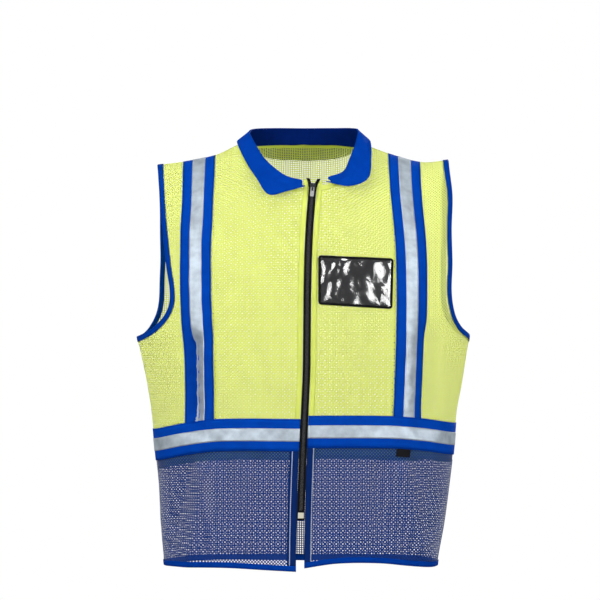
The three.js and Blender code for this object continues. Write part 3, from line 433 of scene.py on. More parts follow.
def cloth_material(name, color, roughness, pitch, relief, tone, sheen=0.0, metallic=0.0):
    """A cloth with threads of a pitch in mm, their relief, and how much its tone changes."""
    made = material(name, color, roughness, metallic)
    nodes = made.node_tree.nodes
    links = made.node_tree.links
    surface = nodes["Principled BSDF"]
    surface.inputs["Sheen Weight"].default_value = sheen
    surface.inputs["Specular IOR Level"].default_value = 0.01
    threads = nodes.new("ShaderNodeGroup")
    threads.node_tree = weave
    threads.inputs["Color"].default_value = (*color, 1)
    threads.inputs["Pitch"].default_value = pitch
    threads.inputs["Tone"].default_value = tone
    bump = nodes.new("ShaderNodeBump")
    bump.inputs["Strength"].default_value = relief
    bump.inputs["Distance"].default_value = 0.0002
    links.new(threads.outputs["Height"], bump.inputs["Height"])
    links.new(bump.outputs["Normal"], surface.inputs["Normal"])
    links.new(threads.outputs["Color"], surface.inputs["Base Color"])
    return made


# The lime net is thin enough to let a quarter of the light through its yarn
LIME = (0.82, 0.905, 0.2)
lime_mesh = cloth_material("lime_mesh", LIME, 0.7, 0.9, 0.35, 0.05)
nodes = lime_mesh.node_tree.nodes
glow = nodes.new("ShaderNodeBsdfTranslucent")
glow.inputs["Color"].default_value = (*LIME, 1)
mix = nodes.new("ShaderNodeMixShader")
mix.inputs["Fac"].default_value = 0.25
lime_mesh.node_tree.links.new(nodes["Principled BSDF"].outputs["BSDF"], mix.inputs[1])
lime_mesh.node_tree.links.new(glow.outputs["BSDF"], mix.inputs[2])
lime_mesh.node_tree.links.new(mix.outputs["Shader"], nodes["Material Output"].inputs["Surface"])

# Diamond holes in slanting rows, PITCH apart, each with YARN left on every side. Behind, the rows are upright.
PITCH = 3.54
YARN = 0.8
SLANT = math.pi / 4
NET_REACH = 330
NET_PAST_MIDDLE = 30
NET_HALF_HEIGHT = 380


def net(name, face, sides, top, bottom, inner, nodes, made, yarn, grain):
    """A panel of net between distances down top(run) and bottom(run), out to the armhole and side seam.
    A front starts at run inner(down). grain is the angle of the rows, and nodes are the solids that it
    replaces, which are hidden."""
    arm_lines = {}
    for side in sides:
        arm_run, arm_down, inward = arm_path(face, side)
        order = np.argsort(arm_down + 4 * inward[:, 1])
        arm_lines[side] = ((arm_down + 4 * inward[:, 1])[order], (arm_run + 4 * inward[:, 0])[order])
    reach_right = NET_REACH if RIGHT in sides else NET_PAST_MIDDLE
    reach_left = NET_REACH if LEFT in sides else NET_PAST_MIDDLE
    half = (reach_left + reach_right) / 2
    count = int(math.ceil((half + NET_HALF_HEIGHT) * math.sqrt(2) / PITCH))
    piece = grid(name, count, count)
    flat = (corners_of(piece)[:, :2] - 0.5) * count * PITCH
    turned = flat @ np.array([[math.cos(grain), math.sin(grain)], [-math.sin(grain), math.cos(grain)]])
    run = turned[:, 0] + (reach_left - reach_right) / 2
    down = turned[:, 1] + NET_HALF_HEIGHT - 20
    piece.data.vertices.foreach_set("co", np.stack([run, -down, np.zeros(len(run))], 1).ravel())
    safe = np.clip(down, 0, 716)
    inside = (down > top(run)) & (down < bottom(run))
    for side in (RIGHT, LEFT):
        mine = run < 0 if side == RIGHT else run >= 0
        limit = seam_run(face, side, safe)
        if side in sides:
            edge_down, edge_run = arm_lines[side]
            arm = np.interp(safe, edge_down, edge_run)
            limit = np.where(safe < edge_down[-1], np.minimum(arm, limit), limit)
        inside &= ~mine | (np.abs(run) < limit - 1)
    if inner:
        sign = SIGN[sides[0]]
        inside &= sign * run > sign * inner(safe)
    work = bmesh.new()
    work.from_mesh(piece.data)
    work.verts.ensure_lookup_table()
    outside = [work.verts[i] for i in np.nonzero(~inside)[0]]
    bmesh.ops.delete(work, geom=outside, context="VERTS")
    work.to_mesh(piece.data)
    work.free()
    bpy.ops.object.mode_set(mode="EDIT")
    bpy.ops.mesh.select_mode(type="FACE")
    bpy.ops.mesh.select_all(action="SELECT")
    bpy.ops.mesh.inset(thickness=yarn, use_individual=True, use_even_offset=True)
    bpy.ops.mesh.delete(type="FACE")
    bpy.ops.object.mode_set(mode="OBJECT")
    pattern = corners_of(piece)[:, :2]
    ripple = 0.12 * np.sin(pattern[:, 0] * 2.5) * np.sin(pattern[:, 1] * 2.5)
    dress(piece, worn(face, pattern[:, 0], -pattern[:, 1], 0.5 + ripple), pattern, bake=True)
    if face == BACK:
        piece.data.flip_normals()
    finish_piece(piece, nodes, made)


for side, hand in SIDES:
    net(f"net_front_{hand}", FRONT, [side], neck_top(FRONT), level(BAND_LINE, FRONT, -8), front_inner(side, 1),
        [f"front_yoke_{hand}", f"front_side_yoke_{hand}"], lime_mesh, YARN, SLANT)
net("net_back", BACK, [RIGHT, LEFT], neck_top(BACK), level(BAND_LINE, BACK, -8), None,
    ["back_yoke", "back_side_yoke_left", "back_side_yoke_right"], lime_mesh, YARN, 0)

# Lower panels: the same net in navy, two in front and one behind, sewn to the upper panels under the band.
# They hang free to the bound hem, and draw in a little towards it.
NAVY = (0.008, 0.037, 0.2)
BACK_YARN = 0.78
# The hem: distance out, then its drop on the front right, front left and back
HEM_LINE = [
    (0, 1.004, 0.995, 0.992), (0.2, 1.0, 0.984, 0.992), (0.45, 0.995, 0.984, 0.99), (0.7, 0.995, 0.994, 0.99),
    (0.9, 0.994, 0.993, 0.992),
]
navy_mesh = cloth_material("navy_mesh", NAVY, 0.5, 0.9, 0.35, 0.1, sheen=0.25)
for side, hand in SIDES:
    net(f"net_skirt_{hand}", FRONT, [side], level(BAND_LINE, FRONT, 8), level(HEM_LINE, FRONT, 4),
        front_inner(side, 8), [f"front_skirt_{hand}"], navy_mesh, YARN, SLANT)
net("net_skirt_back", BACK, [RIGHT, LEFT], level(BAND_LINE, BACK, 8), level(HEM_LINE, BACK, 4), None,
    ["back_skirt"], navy_mesh, BACK_YARN, 0)

# Seams of the net: the edges are turned in and sewn flat, lime over the shoulders and down the sides, navy
# below the band, with a folded edge beside the zip and round the neck.
SEAM_WIDTH = 10
EDGE_WIDTH = 8
SEAM_LIFT = 0.95
SEAM_THICKNESS = 0.4
EDGE_TOP = 118


def thicken(piece, thick):
    bpy.context.view_layer.objects.active = piece
    shell = piece.modifiers.new("Thickness", "SOLIDIFY")
    shell.thickness = thick / 1000
    shell.offset = 0.0
    bpy.ops.object.modifier_apply(modifier=shell.name)
    bpy.ops.object.mode_set(mode="EDIT")
    bpy.ops.mesh.select_all(action="SELECT")
    bpy.ops.mesh.normals_make_consistent(inside=False)
    bpy.ops.object.mode_set(mode="OBJECT")


def strip(name, across, along, place, thick, nodes, made):
    """A strip laid on the cloth. place takes shares across and along it, and gives the face, the run, the
    distance down and the height over the cloth, then the place in the pattern across and along."""
    piece = grid(name, across, along)
    uv = corners_of(piece)
    face, run, down, lift, wide, long = place(uv[:, 0], uv[:, 1])
    pattern = np.stack(np.broadcast_arrays(wide, long), 1).astype(float)
    dress(piece, worn(face, run, down, lift), pattern)
    thicken(piece, thick)
    finish_piece(piece, nodes, made)


for side, hand in SIDES:
    sign = SIGN[side]
    shoulder_end = float(arm_path(FRONT, side)[0][0])

    def shoulder_place(u, v):
        across = (u - 0.5) * SEAM_WIDTH
        run = sign * (NECK_HALF + (shoulder_end - 4 - NECK_HALF) * v)
        along = NECK_HALF + (shoulder_end - NECK_HALF) * v
        return (across < 0).astype(int), run, np.abs(across), SEAM_LIFT, across, along

    strip(f"shoulder_seam_{hand}", 4, 40, shoulder_place, SEAM_THICKNESS, [], lime_mesh)
    for part, top, low, slot, made, on in (
        ("yoke", -0.458, -0.672, "lime_mesh", lime_mesh, [f"net_front_{hand}", "net_back"]),
        ("skirt", -0.745, -0.985, "navy_mesh", navy_mesh, [f"net_skirt_{hand}", "net_skirt_back"]),
    ):

        def side_place(u, v):
            across = (u - 0.5) * SEAM_WIDTH
            z = (top + (low - top) * v) * LENGTH
            face = (across > 0).astype(int)
            x = sign * HALF_WIDTH * sided(WIDTHS, -z / LENGTH, sign)
            down = np.where(face == FRONT, down_at(FRONT, x, z), down_at(BACK, x, z))
            limit = np.where(face == FRONT, seam_run(FRONT, side, down), seam_run(BACK, side, down))
            return face, sign * (limit - np.abs(across)), down, SEAM_LIFT, across, z

        strip(f"side_seam_{part}_{hand}", 4, 50, side_place, SEAM_THICKNESS, [], made)
    edge = front_inner(side, 0.4)
    edge_low = float(level(BAND_LINE, FRONT, 20)(sign * 10))

    def edge_place(u, v):
        down = EDGE_TOP + (edge_low - EDGE_TOP) * v
        return FRONT, edge(down) + sign * u * EDGE_WIDTH, down, SEAM_LIFT, u * EDGE_WIDTH, down

    strip(f"zip_edge_{hand}", 3, 70, edge_place, SEAM_THICKNESS, [], lime_mesh)


def neck_place(u, v):
    """Round the neck from one front corner to the other, by the angle from the middle of the back."""
    at = -175 + 344 * v
    x = NECK_HALF * np.sin(np.radians(at))
    face = (np.abs(at) <= 90).astype(int)
    share = np.minimum(1, np.abs(x) / NECK_HALF)
    reach = np.where(face == FRONT, NECK_DEPTH[FRONT], NECK_DEPTH[BACK])
    down = reach * (1 - share**NECK_SQUARENESS) ** (1 / NECK_SQUARENESS)
    run = np.where(face == FRONT, run_at(FRONT, x, down), run_at(BACK, x, down))
    out = share**4
    across = u * EDGE_WIDTH
    return face, run + np.sign(x) * across * out, down + across * (1 - out), SEAM_LIFT, across, at * 1.5


strip("neck_seam", 4, 160, neck_place, SEAM_THICKNESS, [], lime_mesh)

# Waist band: blue woven tape, 50 mm wide, with a silver stripe of 20 mm sewn along its middle.
# It covers the seam between the two nets, in three parts that meet at the side seams.
BLUE = (0.0, 0.052, 0.40)
DEEP_BLUE = (0.0, 0.02, 0.2)
SILVER = (0.33, 0.38, 0.43)
TAPE_WIDTH = 50
STRIPE_WIDTH = 20
STRIPE_THICKNESS = 0.35
STITCH_LENGTH = 3.1
PARTS = ((FRONT, RIGHT, "right"), (FRONT, LEFT, "left"), (BACK, None, "back"))

# Stitches: two rows of dashes, each Offset to one side of a line at Middle, over the cloth's own colour
stitches, given, result = node_group(
    "Stitches",
    [("Color", (0.5, 0.5, 0.5, 1)), ("Thread", (1, 1, 1, 1)), ("Middle", 0), ("Offset", 2), ("Width", 0.34)],
    [("Color", "NodeSocketColor"), ("Mask", "NodeSocketFloat")],
)
where = stitches.nodes.new("ShaderNodeUVMap")
where.uv_map = "pattern"
parts = stitches.nodes.new("ShaderNodeSeparateXYZ")
stitches.links.new(where.outputs["UV"], parts.inputs["Vector"])
across = sum_node(stitches, "SUBTRACT", parts.outputs["X"], given["Middle"])
from_middle = sum_node(stitches, "ABSOLUTE", across)
from_row = sum_node(stitches, "ABSOLUTE", sum_node(stitches, "SUBTRACT", from_middle, given["Offset"]))
in_row = sum_node(stitches, "LESS_THAN", from_row, given["Width"])
along = sum_node(stitches, "FRACT", sum_node(stitches, "DIVIDE", parts.outputs["Y"], STITCH_LENGTH))
mask = sum_node(stitches, "MULTIPLY", in_row, sum_node(stitches, "LESS_THAN", along, 0.74))
blend = stitches.nodes.new("ShaderNodeMix")
blend.data_type = "RGBA"
stitches.links.new(mask, blend.inputs["Factor"])
stitches.links.new(given["Color"], blend.inputs["A"])
stitches.links.new(given["Thread"], blend.inputs["B"])
stitches.links.new(blend.outputs["Result"], result["Color"])
stitches.links.new(mask, result["Mask"])


def sew(made, middle, offset, thread, width=0.34):
    """Puts two rows of stitches on a cloth material, in its colour and in its relief."""
    tree = made.node_tree
    threads = tree.nodes["Group"]
    sewn = tree.nodes.new("ShaderNodeGroup")
    sewn.node_tree = stitches
    sewn.inputs["Middle"].default_value = middle
    sewn.inputs["Offset"].default_value = offset
    sewn.inputs["Thread"].default_value = (*thread, 1)
    sewn.inputs["Width"].default_value = width
    tree.links.new(threads.outputs["Color"], sewn.inputs["Color"])
    raised = sum_node(tree, "MULTIPLY_ADD", sewn.outputs["Mask"], 2.0, threads.outputs["Height"])
    tree.links.new(raised, tree.nodes["Bump"].inputs["Height"])
    tree.links.new(sewn.outputs["Color"], tree.nodes["Principled BSDF"].inputs["Base Color"])


def part_run(face, side, v, seam_down, zip_down, away, short):
    """The run across at share v of a part of the band or hem. In front it goes from away beside the zip to
    short of the side seam, and behind from seam to seam."""
    if face == BACK:
        limit = np.where(v < 0.5, seam_run(BACK, RIGHT, seam_down), seam_run(BACK, LEFT, seam_down))
        return (2 * v - 1) * (limit - short)
    inner = front_inner(side, away)(zip_down)
    return inner + v * (SIGN[side] * (seam_run(FRONT, side, seam_down) - short) - inner)


blue_tape = cloth_material("blue_tape", BLUE, 0.6, 0.8, 0.5, 0.1)
sew(blue_tape, 25, 23, DEEP_BLUE)
silver_stripe = cloth_material("silver_stripe", SILVER, 0.45, 0.5, 0.2, 0.28, metallic=0.2)
sew(silver_stripe, 10, 9, (0.3, 0.33, 0.36))
for face, side, hand in PARTS:
    for node, wide, lift, thick, slot, made, on in (
        ("waist_band", TAPE_WIDTH, 2.05, 0.6, "blue_tape", blue_tape,
         "net_back" if face == BACK else f"net_front_{hand}"),
        ("waist_stripe", STRIPE_WIDTH, 2.6, STRIPE_THICKNESS, "silver_stripe", silver_stripe,
         f"waist_band_{hand}_cloth"),
    ):
        rises = np.array([wide / 2, 0, -wide / 2])
        lines = [level(BAND_LINE, face, rise) for rise in rises]

        def band_place(u, v):
            down = np.full(v.shape, 450.0)
            for turn in range(3):
                run = part_run(face, side, v, down, down, 0.2, 0.1)
                values = np.stack([line(run) for line in lines], 1)
                wanted = wide / 2 - wide * u
                down = np.array([np.interp(-w, -rises, row) for w, row in zip(wanted, values)])
            return face, run, down, lift, u * wide, run

        strip(f"{node}_{hand}_cloth", 8, 150 if face == BACK else 80, band_place, thick,
              [f"{node}_{hand}"], made)

# Waist seam's allowance: 18 mm of both nets, turned down inside the lower panels and left raw.
# It shows through the navy net as a darker strip below the band.
ALLOWANCE = 18
ALLOWANCE_DOWN = 470
allowance_cloth = cloth_material("allowance_cloth", (0.12, 0.22, 0.12), 0.7, 0.9, 0.4, 0.1)
for face, side, hand in PARTS:
    top = level(BAND_LINE, face, -20)
    low = level(BAND_LINE, face, -20 - ALLOWANCE)

    def allowance_place(u, v):
        run = part_run(face, side, v, ALLOWANCE_DOWN, ALLOWANCE_DOWN, 14, 1)
        return face, run, top(run) + (low(run) - top(run)) * u, -0.5, u * ALLOWANCE, run

    strip(f"waist_allowance_{hand}", 4, 100, allowance_place, SEAM_THICKNESS, [], allowance_cloth)

# Shoulder tapes: the band's own tape and stripe, one over each shoulder, sewn down to the net.
# Each goes from under the band in front to under the band behind, and leans in towards the waist.
# The inner edge of a tape: drop, then how far out it is on the right and on the left
TAPE_LINES = [
    (0, 0.532, 0.504), (0.104, 0.538, 0.514), (0.24, 0.553, 0.546), (0.366, 0.552, 0.553), (0.48, 0.538, 0.546),
    (0.7, 0.532, 0.526),
]
for side, hand in SIDES:
    sign = SIGN[side]
    ends = [level(BAND_LINE, face, 22) for face in (FRONT, BACK)]
    for node, inner, wide, lift, thick, slot, made, on in (
        ("shoulder_tape", 0, TAPE_WIDTH, 1.4, 0.55, "blue_tape", blue_tape, [f"net_front_{hand}", "net_back"]),
        ("shoulder_stripe", 15, STRIPE_WIDTH, 1.95, STRIPE_THICKNESS, "silver_stripe", silver_stripe,
         [f"shoulder_tape_{hand}_cloth"]),
    ):

        def tape_place(u, v):
            across = inner + wide * u
            lengths = []
            for f in (FRONT, BACK):
                near = run_at(f, sign * 0.53 * HALF_WIDTH, float(ends[f](sign * 150)))
                lengths.append(ends[f](near + sign * across))
            along = -lengths[BACK] + (lengths[FRONT] + lengths[BACK]) * v
            face = (along < 0).astype(int)
            down = np.abs(along)
            start = np.zeros(v.shape)
            ladder = np.arange(0, 480, 6.0)
            for f in (FRONT, BACK):
                drop = drop_of(f, ladder)
                z = sided(RIDGE, 0.6, sign) * LENGTH * shoulder_share(drop) - drop
                x = sign * smooth(TAPE_LINES, 1 + side, np.clip(-z / LENGTH, 0, 0.7)) * HALF_WIDTH
                start = np.where(face == f, np.interp(down, ladder, run_at(f, x, ladder)), start)
            return face, start + sign * across, down, lift, across, along

        strip(f"{node}_{hand}_cloth", 8, 190, tape_place, thick, [f"{node}_{hand}"], made)

# Facings: strips of plain navy-blue cloth down the front edges of the lower panels, on both sides of the zip.
# Each is topstitched once in a pale thread, 10 mm from the edge.
facing_blue = cloth_material("facing_blue", (0.003, 0.02, 0.12), 0.6, 0.8, 0.5, 0.12)
sew(facing_blue, 0, 10, (0.45, 0.52, 0.7), 0.7)
facing_top = level(BAND_LINE, FRONT, -24)
facing_low = level(HEM_LINE, FRONT, 3)
for side, hand, wide in ((RIGHT, "right", 14.0), (LEFT, "left", 11.0)):
    edge = front_inner(side, 0.3)

    def facing_place(u, v):
        down = facing_top(0) + (facing_low(0) - facing_top(0)) * v
        return FRONT, edge(down) + SIGN[side] * u * wide, down, 1.2, u * wide, down

    strip(f"front_facing_{hand}_cloth", 6, 50, facing_place, 0.8, [f"front_facing_{hand}"],
          facing_blue)

# Bindings: blue tape, 20 mm wide, folded over the raw edge and sewn through with one row of stitches.
# One goes round each armhole, and three along the hem.
BINDING_WIDTH = 8.5
BINDING_FLAT = 20
BINDING_THICKNESS = 0.5
EDGE_TURN = 1.2
blue_binding = cloth_material("blue_binding", (0.0, 0.04, 0.31), 0.62, 0.8, 0.5, 0.1)
sew(blue_binding, 0, 7, DEEP_BLUE)


def fold_over(u):
    """A binding's section: one leg outside, a round turn, one leg inside. Gives the inset and the height."""
    along = np.interp(u, [0, 0.42, 0.58, 1], [0, 1, 2, 3])
    turn = (np.clip(along, 1, 2) - 1) * math.pi
    outer = BINDING_WIDTH * (1 - along) + EDGE_TURN * along
    inner = EDGE_TURN + (BINDING_WIDTH - EDGE_TURN) * (along - 2)
    inset = np.where(along < 1, outer, np.where(along > 2, inner, EDGE_TURN - EDGE_TURN * np.sin(turn)))
    lift = 0.55 + 1.25 * np.where(along < 1, 1, np.where(along > 2, -1, np.cos(turn)))
    return inset, lift


for side, hand in SIDES:
    paths = [arm_path(face, side) for face in (FRONT, BACK)]
    around = sum(np.hypot(np.diff(run), np.diff(down)).sum() for run, down, inward in paths)

    def arm_place(u, v):
        inset, lift = fold_over(u)
        face = (v > 0.5).astype(int)
        at = np.where(v <= 0.5, v * 2, (1 - v) * 2)
        run = np.zeros(u.shape)
        down = np.zeros(u.shape)
        for f, (path_run, path_down, inward) in enumerate(paths):
            steps = np.linspace(0, 1, len(path_run))
            r = np.interp(at, steps, path_run) + inset * np.interp(at, steps, inward[:, 0])
            d = np.interp(at, steps, path_down) + inset * np.interp(at, steps, inward[:, 1])
            run = np.where(face == f, SIGN[side] * np.minimum(r, seam_run(f, side, d)), run)
            down = np.where(face == f, np.maximum(d, 0), down)
        return face, run, down, lift, u * BINDING_FLAT, v * around

    strip(f"armhole_binding_{hand}_cloth", 16, 240, arm_place, BINDING_THICKNESS,
          [f"armhole_binding_{hand}"], blue_binding)

for face, side, hand in PARTS:
    hem = level(HEM_LINE, face, 0)

    def hem_place(u, v):
        inset, lift = fold_over(u)
        run = part_run(face, side, v, 690, 695, 0.3, 0.1)
        return face, run, hem(run) - inset, lift, u * BINDING_FLAT, run

    strip(f"hem_binding_{hand}_cloth", 14, 120, hem_place, BINDING_THICKNESS,
          [f"hem_binding_{hand}"], blue_binding)

# Collar: one band of blue cloth, sewn to the neck edge, that stands up and turns down over its own seam.
# Its two ends are rounded and lie open beside the zip.
# Angle round the neck in degrees; x, y, z of the fold; x, y, z of the outer edge, in millimetres
COLLAR = [
    (-178, -3, -89, -55, 2, -98, -64), (-158, -26, -80, -49, -26, -102, -72),
    (-140, -44, -67, -37, -54, -104, -77), (-122, -62, -47, -19, -72, -92, -53),
    (-105, -77, -24, 5, -92, -62, -22), (-88, -85, 0, 21, -104, -10, 5),
    (-66, -78, 28, 27, -98, 46, 2), (-36, -46, 54, 29, -58, 82, -16), (0, 0, 63, 29, 0, 91, -20),
    (36, 46, 54, 29, 58, 82, -16), (66, 78, 28, 28, 98, 46, 2), (88, 85, 0, 23, 104, -12, 6),
    (105, 81, -24, 4, 104, -68, -22), (122, 72, -47, -20, 99, -90, -52), (138, 61, -65, -41, 70, -101, -64),
    (152, 38, -78, -50, 34, -99, -57),
]
COLLAR_ACROSS = 28
COLLAR_ALONG = 150
HALF_GAP = 1.7
blue_collar = cloth_material("blue_collar", (0.0, 0.045, 0.36), 0.7, 1.1, 0.6, 0.12)
# The stand's inside is the same blue cloth: this darker copy of its colour is painted shade for the inside of
# the neck
collar_painted_shade = cloth_material("collar_painted_shade", (0.0, 0.01, 0.1), 0.75, 1.1, 0.6, 0.1)
piece = grid("collar_cloth", COLLAR_ACROSS, COLLAR_ALONG)
uv = corners_of(piece)
at = COLLAR[0][0] + (COLLAR[-1][0] - COLLAR[0][0]) * uv[:, 1]
fold = np.stack([smooth(COLLAR, column, at) for column in (1, 2, 3)], 1)
fall = np.stack([smooth(COLLAR, column, at) for column in (4, 5, 6)], 1)
x = NECK_HALF * np.sin(np.radians(at))
neck_edge = np.zeros((len(at), 3))
for face in (FRONT, BACK):
    mine = (np.abs(at) > 90) if face == FRONT else (np.abs(at) <= 90)
    share = np.minimum(1, np.abs(x[mine]) / NECK_HALF)
    down = NECK_DEPTH[face] * (1 - share**NECK_SQUARENESS) ** (1 / NECK_SQUARENESS)
    neck_edge[mine] = worn(face, run_at(face, x[mine], down), down, 0.6) * 1000

# The section of the collar, from where it is sewn, up inside to the fold, and down outside to its edge
inwards = np.stack([-neck_edge[:, 0], -neck_edge[:, 1] - 10, neck_edge[:, 2] * 0], 1)
inwards /= np.linalg.norm(inwards, axis=1, keepdims=True)
seat = neck_edge + inwards * 4.0
out = fall - seat
out[:, 2] = 0
out /= np.linalg.norm(out, axis=1, keepdims=True)
up = np.array([0, 0, 1.0])
inside = fold - HALF_GAP * out - 2 * up
outside = fold + HALF_GAP * out - 2 * up
over = np.clip((outside[:, 2] - neck_edge[:, 2] - 1) / (outside[:, 2] - fall[:, 2]), 0.25, 0.75)[:, None]
middle = outside + (fall - outside) * over
short = 0.9 + 1.2 + 3.8 - ((middle - neck_edge) * out).sum(1)
middle += out * np.maximum(short, 1)[:, None]
over_edge = neck_edge + out * 3.7 + up
middle += (over_edge - middle) * step(80, 105, np.abs(at))[:, None]
sections = np.stack([seat, (seat + inside) / 2, inside, fold, outside, middle, fall], 1)
knots = np.array([0, 0.2, 0.36, 0.42, 0.48, 0.72, 1.0])
points = np.zeros((len(at), 3))
for n in range(len(at)):
    section = np.column_stack([knots, sections[n]])
    points[n] = [smooth(section, column, uv[n, 0]) for column in (1, 2, 3)]
order = np.lexsort((uv[:, 0], uv[:, 1]))
rows = points[order].reshape(COLLAR_ALONG + 1, COLLAR_ACROSS + 1, 3)
collar_wide = np.linalg.norm(np.diff(rows, axis=1), axis=2).sum(1).mean()
collar_long = np.linalg.norm(np.diff(rows, axis=0), axis=2).sum(0).mean()
dress(piece, points / 1000, np.stack([uv[:, 0] * collar_wide, uv[:, 1] * collar_long], 1))
thicken(piece, 1.3)
finish_piece(piece, ["collar"], blue_collar)
# Faces up the inside of the stand, under 40 % across, take the darker copy as painted shade
piece.data.materials.append(collar_painted_shade)
pattern = piece.data.uv_layers["pattern"].data
for polygon in piece.data.polygons:
    if np.mean([pattern[n].uv[0] for n in polygon.loop_indices]) < 0.4 * collar_wide:
        polygon.material_index = 1

# Front zip: a black woven tape with two rows of nylon coil, sewn to both front edges. Its two top ends
# spread above the metal slider and pull, and a cream stop closes the bottom.
ZIP_TOP = -60
ZIP_LOW = -579
END_LOW = -66
END_LENGTH = 13
END_WIDTH = 5
COIL_STEP = 1.5
black_tape = cloth_material("black_tape", (0.01, 0.01, 0.011), 0.7, 0.7, 0.6, 0.15)


def on_zip(run, z, lift):
    """Points in metres beside the zip's middle line, at heights z and lift over the cloth."""
    x = zip_x(z)
    down = down_at(FRONT, x, z)
    return worn(FRONT, run_at(FRONT, x, down) + run, down, lift)


piece = grid("zip_tape_cloth", 8, 160)
uv = corners_of(piece)
z = ZIP_TOP + (ZIP_LOW - ZIP_TOP) * uv[:, 1]
dress(piece, on_zip((uv[:, 0] - 0.5) * ZIP_WIDTH, z, 0.9), np.stack([uv[:, 0] * ZIP_WIDTH, z], 1))
thicken(piece, 0.6)
finish_piece(piece, ["zip_tape"], black_tape)

for side, hand in SIDES:
    piece = grid(f"zip_end_{hand}", 4, 12)
    uv = corners_of(piece)
    z = END_LOW + END_LENGTH * uv[:, 1]
    run = SIGN[side] * (1.5 + 4.5 * uv[:, 1] ** 1.5 + END_WIDTH * uv[:, 0])
    dress(piece, on_zip(run, z, 1.9), np.stack([uv[:, 0] * END_WIDTH, z], 1))
    thicken(piece, 0.6)
    finish_piece(piece, [], black_tape)

# One loop of each coil is modelled once, and then repeated down the tape
coil_black = material("coil_black", (0.02, 0.02, 0.024), 0.35)
bpy.ops.object.select_all(action="DESELECT")
bpy.ops.mesh.primitive_torus_add(major_segments=10, minor_segments=5, major_radius=1.25, minor_radius=0.32)
coil = bpy.context.object
coil.name = "zip_coil_loops"
coil.data.name = "zip_coil_loops"
coil.scale = (1, 0.45, 1)
coil.rotation_euler = (0, 0, math.radians(12))
bpy.ops.object.transform_apply(location=True, rotation=True, scale=True)
bpy.ops.object.mode_set(mode="EDIT")
bpy.ops.mesh.select_all(action="SELECT")
bpy.ops.mesh.duplicate()
bpy.ops.transform.translate(value=(1.1, 0.7, 0))
bpy.ops.mesh.select_all(action="SELECT")
bpy.ops.transform.translate(value=(-0.55, 0, 0))
bpy.ops.object.mode_set(mode="OBJECT")
row = coil.modifiers.new("Row", "ARRAY")
row.use_relative_offset = False
row.use_constant_offset = True
row.constant_offset_displace = (0, -COIL_STEP, 0)
row.count = 330
bpy.ops.object.modifier_apply(modifier=row.name)
flat = corners_of(coil)
dress(coil, on_zip(flat[:, 0] * 1.2, -70 + flat[:, 1], 2.0 + flat[:, 2] * 1.6), flat[:, :2])
finish_piece(coil, ["zip_coil"], coil_black)


def give(node, made):
    """Gives a solid that keeps its shape its finish."""
    for held_slot in bpy.data.objects[node].material_slots:
        held_slot.material = made


dark_metal = material("dark_metal", (0.06, 0.065, 0.07), 0.3, 0.9)
give("zip_slider", dark_metal)
give("zip_bridge", dark_metal)
give("zip_pull", material("bright_metal", (0.75, 0.76, 0.78), 0.25, 0.9))
give("zip_stop", material("stop_cream", (0.55, 0.53, 0.42), 0.4))

# Card pocket: a black backing and a loose window of clear vinyl, bound together with black tape and sewn
# to the left front. The window is wrinkled, and shines where the wrinkles catch the light.
POCKET_WIDTH = 115.0
POCKET_HEIGHT = 77.0
MARGIN = 2.0
SHEET_WIDTH = 111
SHEET_HEIGHT = 73
# x and z of its corners as it hangs: top inner, top outer, low outer, low inner
CORNERS = np.array([(22, -171), (138, -176), (136, -254), (22, -247)], float)
black_cloth = cloth_material("black_cloth", (0.01, 0.01, 0.012), 0.75, 0.6, 0.5, 0.15)

# Clear vinyl: seen through except where it mirrors the light
vinyl = bpy.data.materials.new("vinyl")
vinyl.use_nodes = True
nodes = vinyl.node_tree.nodes
links = vinyl.node_tree.links
nodes.remove(nodes["Principled BSDF"])
shine = nodes.new("ShaderNodeBsdfGlossy")
shine.inputs["Roughness"].default_value = 0.21
clear = nodes.new("ShaderNodeBsdfTransparent")
clear.inputs["Color"].default_value = (0.8, 0.82, 0.85, 1)
rim = nodes.new("ShaderNodeFresnel")
rim.inputs["IOR"].default_value = 1.8
skin = nodes.new("ShaderNodeMixShader")
links.new(rim.outputs["Fac"], skin.inputs["Fac"])
links.new(clear.outputs["BSDF"], skin.inputs[1])
links.new(shine.outputs["BSDF"], skin.inputs[2])
links.new(skin.outputs["Shader"], nodes["Material Output"].inputs["Surface"])


def pocket_place(u, v, lift, margin=0.0):
    """Points in metres at shares u across and v down the pocket, inside a margin."""
    a = margin / POCKET_WIDTH + u * (1 - 2 * margin / POCKET_WIDTH)
    b = margin / POCKET_HEIGHT + v * (1 - 2 * margin / POCKET_HEIGHT)
    spot = ((CORNERS[0] * (1 - a)[:, None] + CORNERS[1] * a[:, None]) * (1 - b)[:, None]
            + (CORNERS[3] * (1 - a)[:, None] + CORNERS[2] * a[:, None]) * b[:, None])
    down = down_at(FRONT, spot[:, 0], spot[:, 1])
    return worn(FRONT, run_at(FRONT, spot[:, 0], down), down, lift)


def wrinkles(u, v):
    """The window's height over the cloth: nine broad waves, 26 short creases, and flat at its edges."""
    wide = u * POCKET_WIDTH
    high = v * POCKET_HEIGHT
    rise = np.zeros(len(u))
    for k in range(9):
        angle = rng.uniform(0, math.pi)
        size = rng.uniform(17, 46)
        rise += 0.62 * np.sin((wide * math.cos(angle) + high * math.sin(angle)) * 2 * math.pi / size + k)
    for k in range(26):
        angle = rng.normal(1.0, 0.6)
        crease_x = rng.uniform(0, POCKET_WIDTH)
        crease_y = rng.uniform(0, POCKET_HEIGHT)
        reach = rng.uniform(8, 26)
        along = (wide - crease_x) * math.cos(angle) + (high - crease_y) * math.sin(angle)
        off = (high - crease_y) * math.cos(angle) - (wide - crease_x) * math.sin(angle)
        rise += rng.uniform(-0.7, 0.9) * np.exp(-((along / reach) ** 2) - (off / rng.uniform(1.6, 4)) ** 2)
    held = step(0, 0.08, u) * step(0, 0.08, 1 - u) * step(0, 0.1, v) * step(0, 0.1, 1 - v)
    return 3.1 + (0.9 + 1.6 * np.tanh(rise / 1.8)) * held


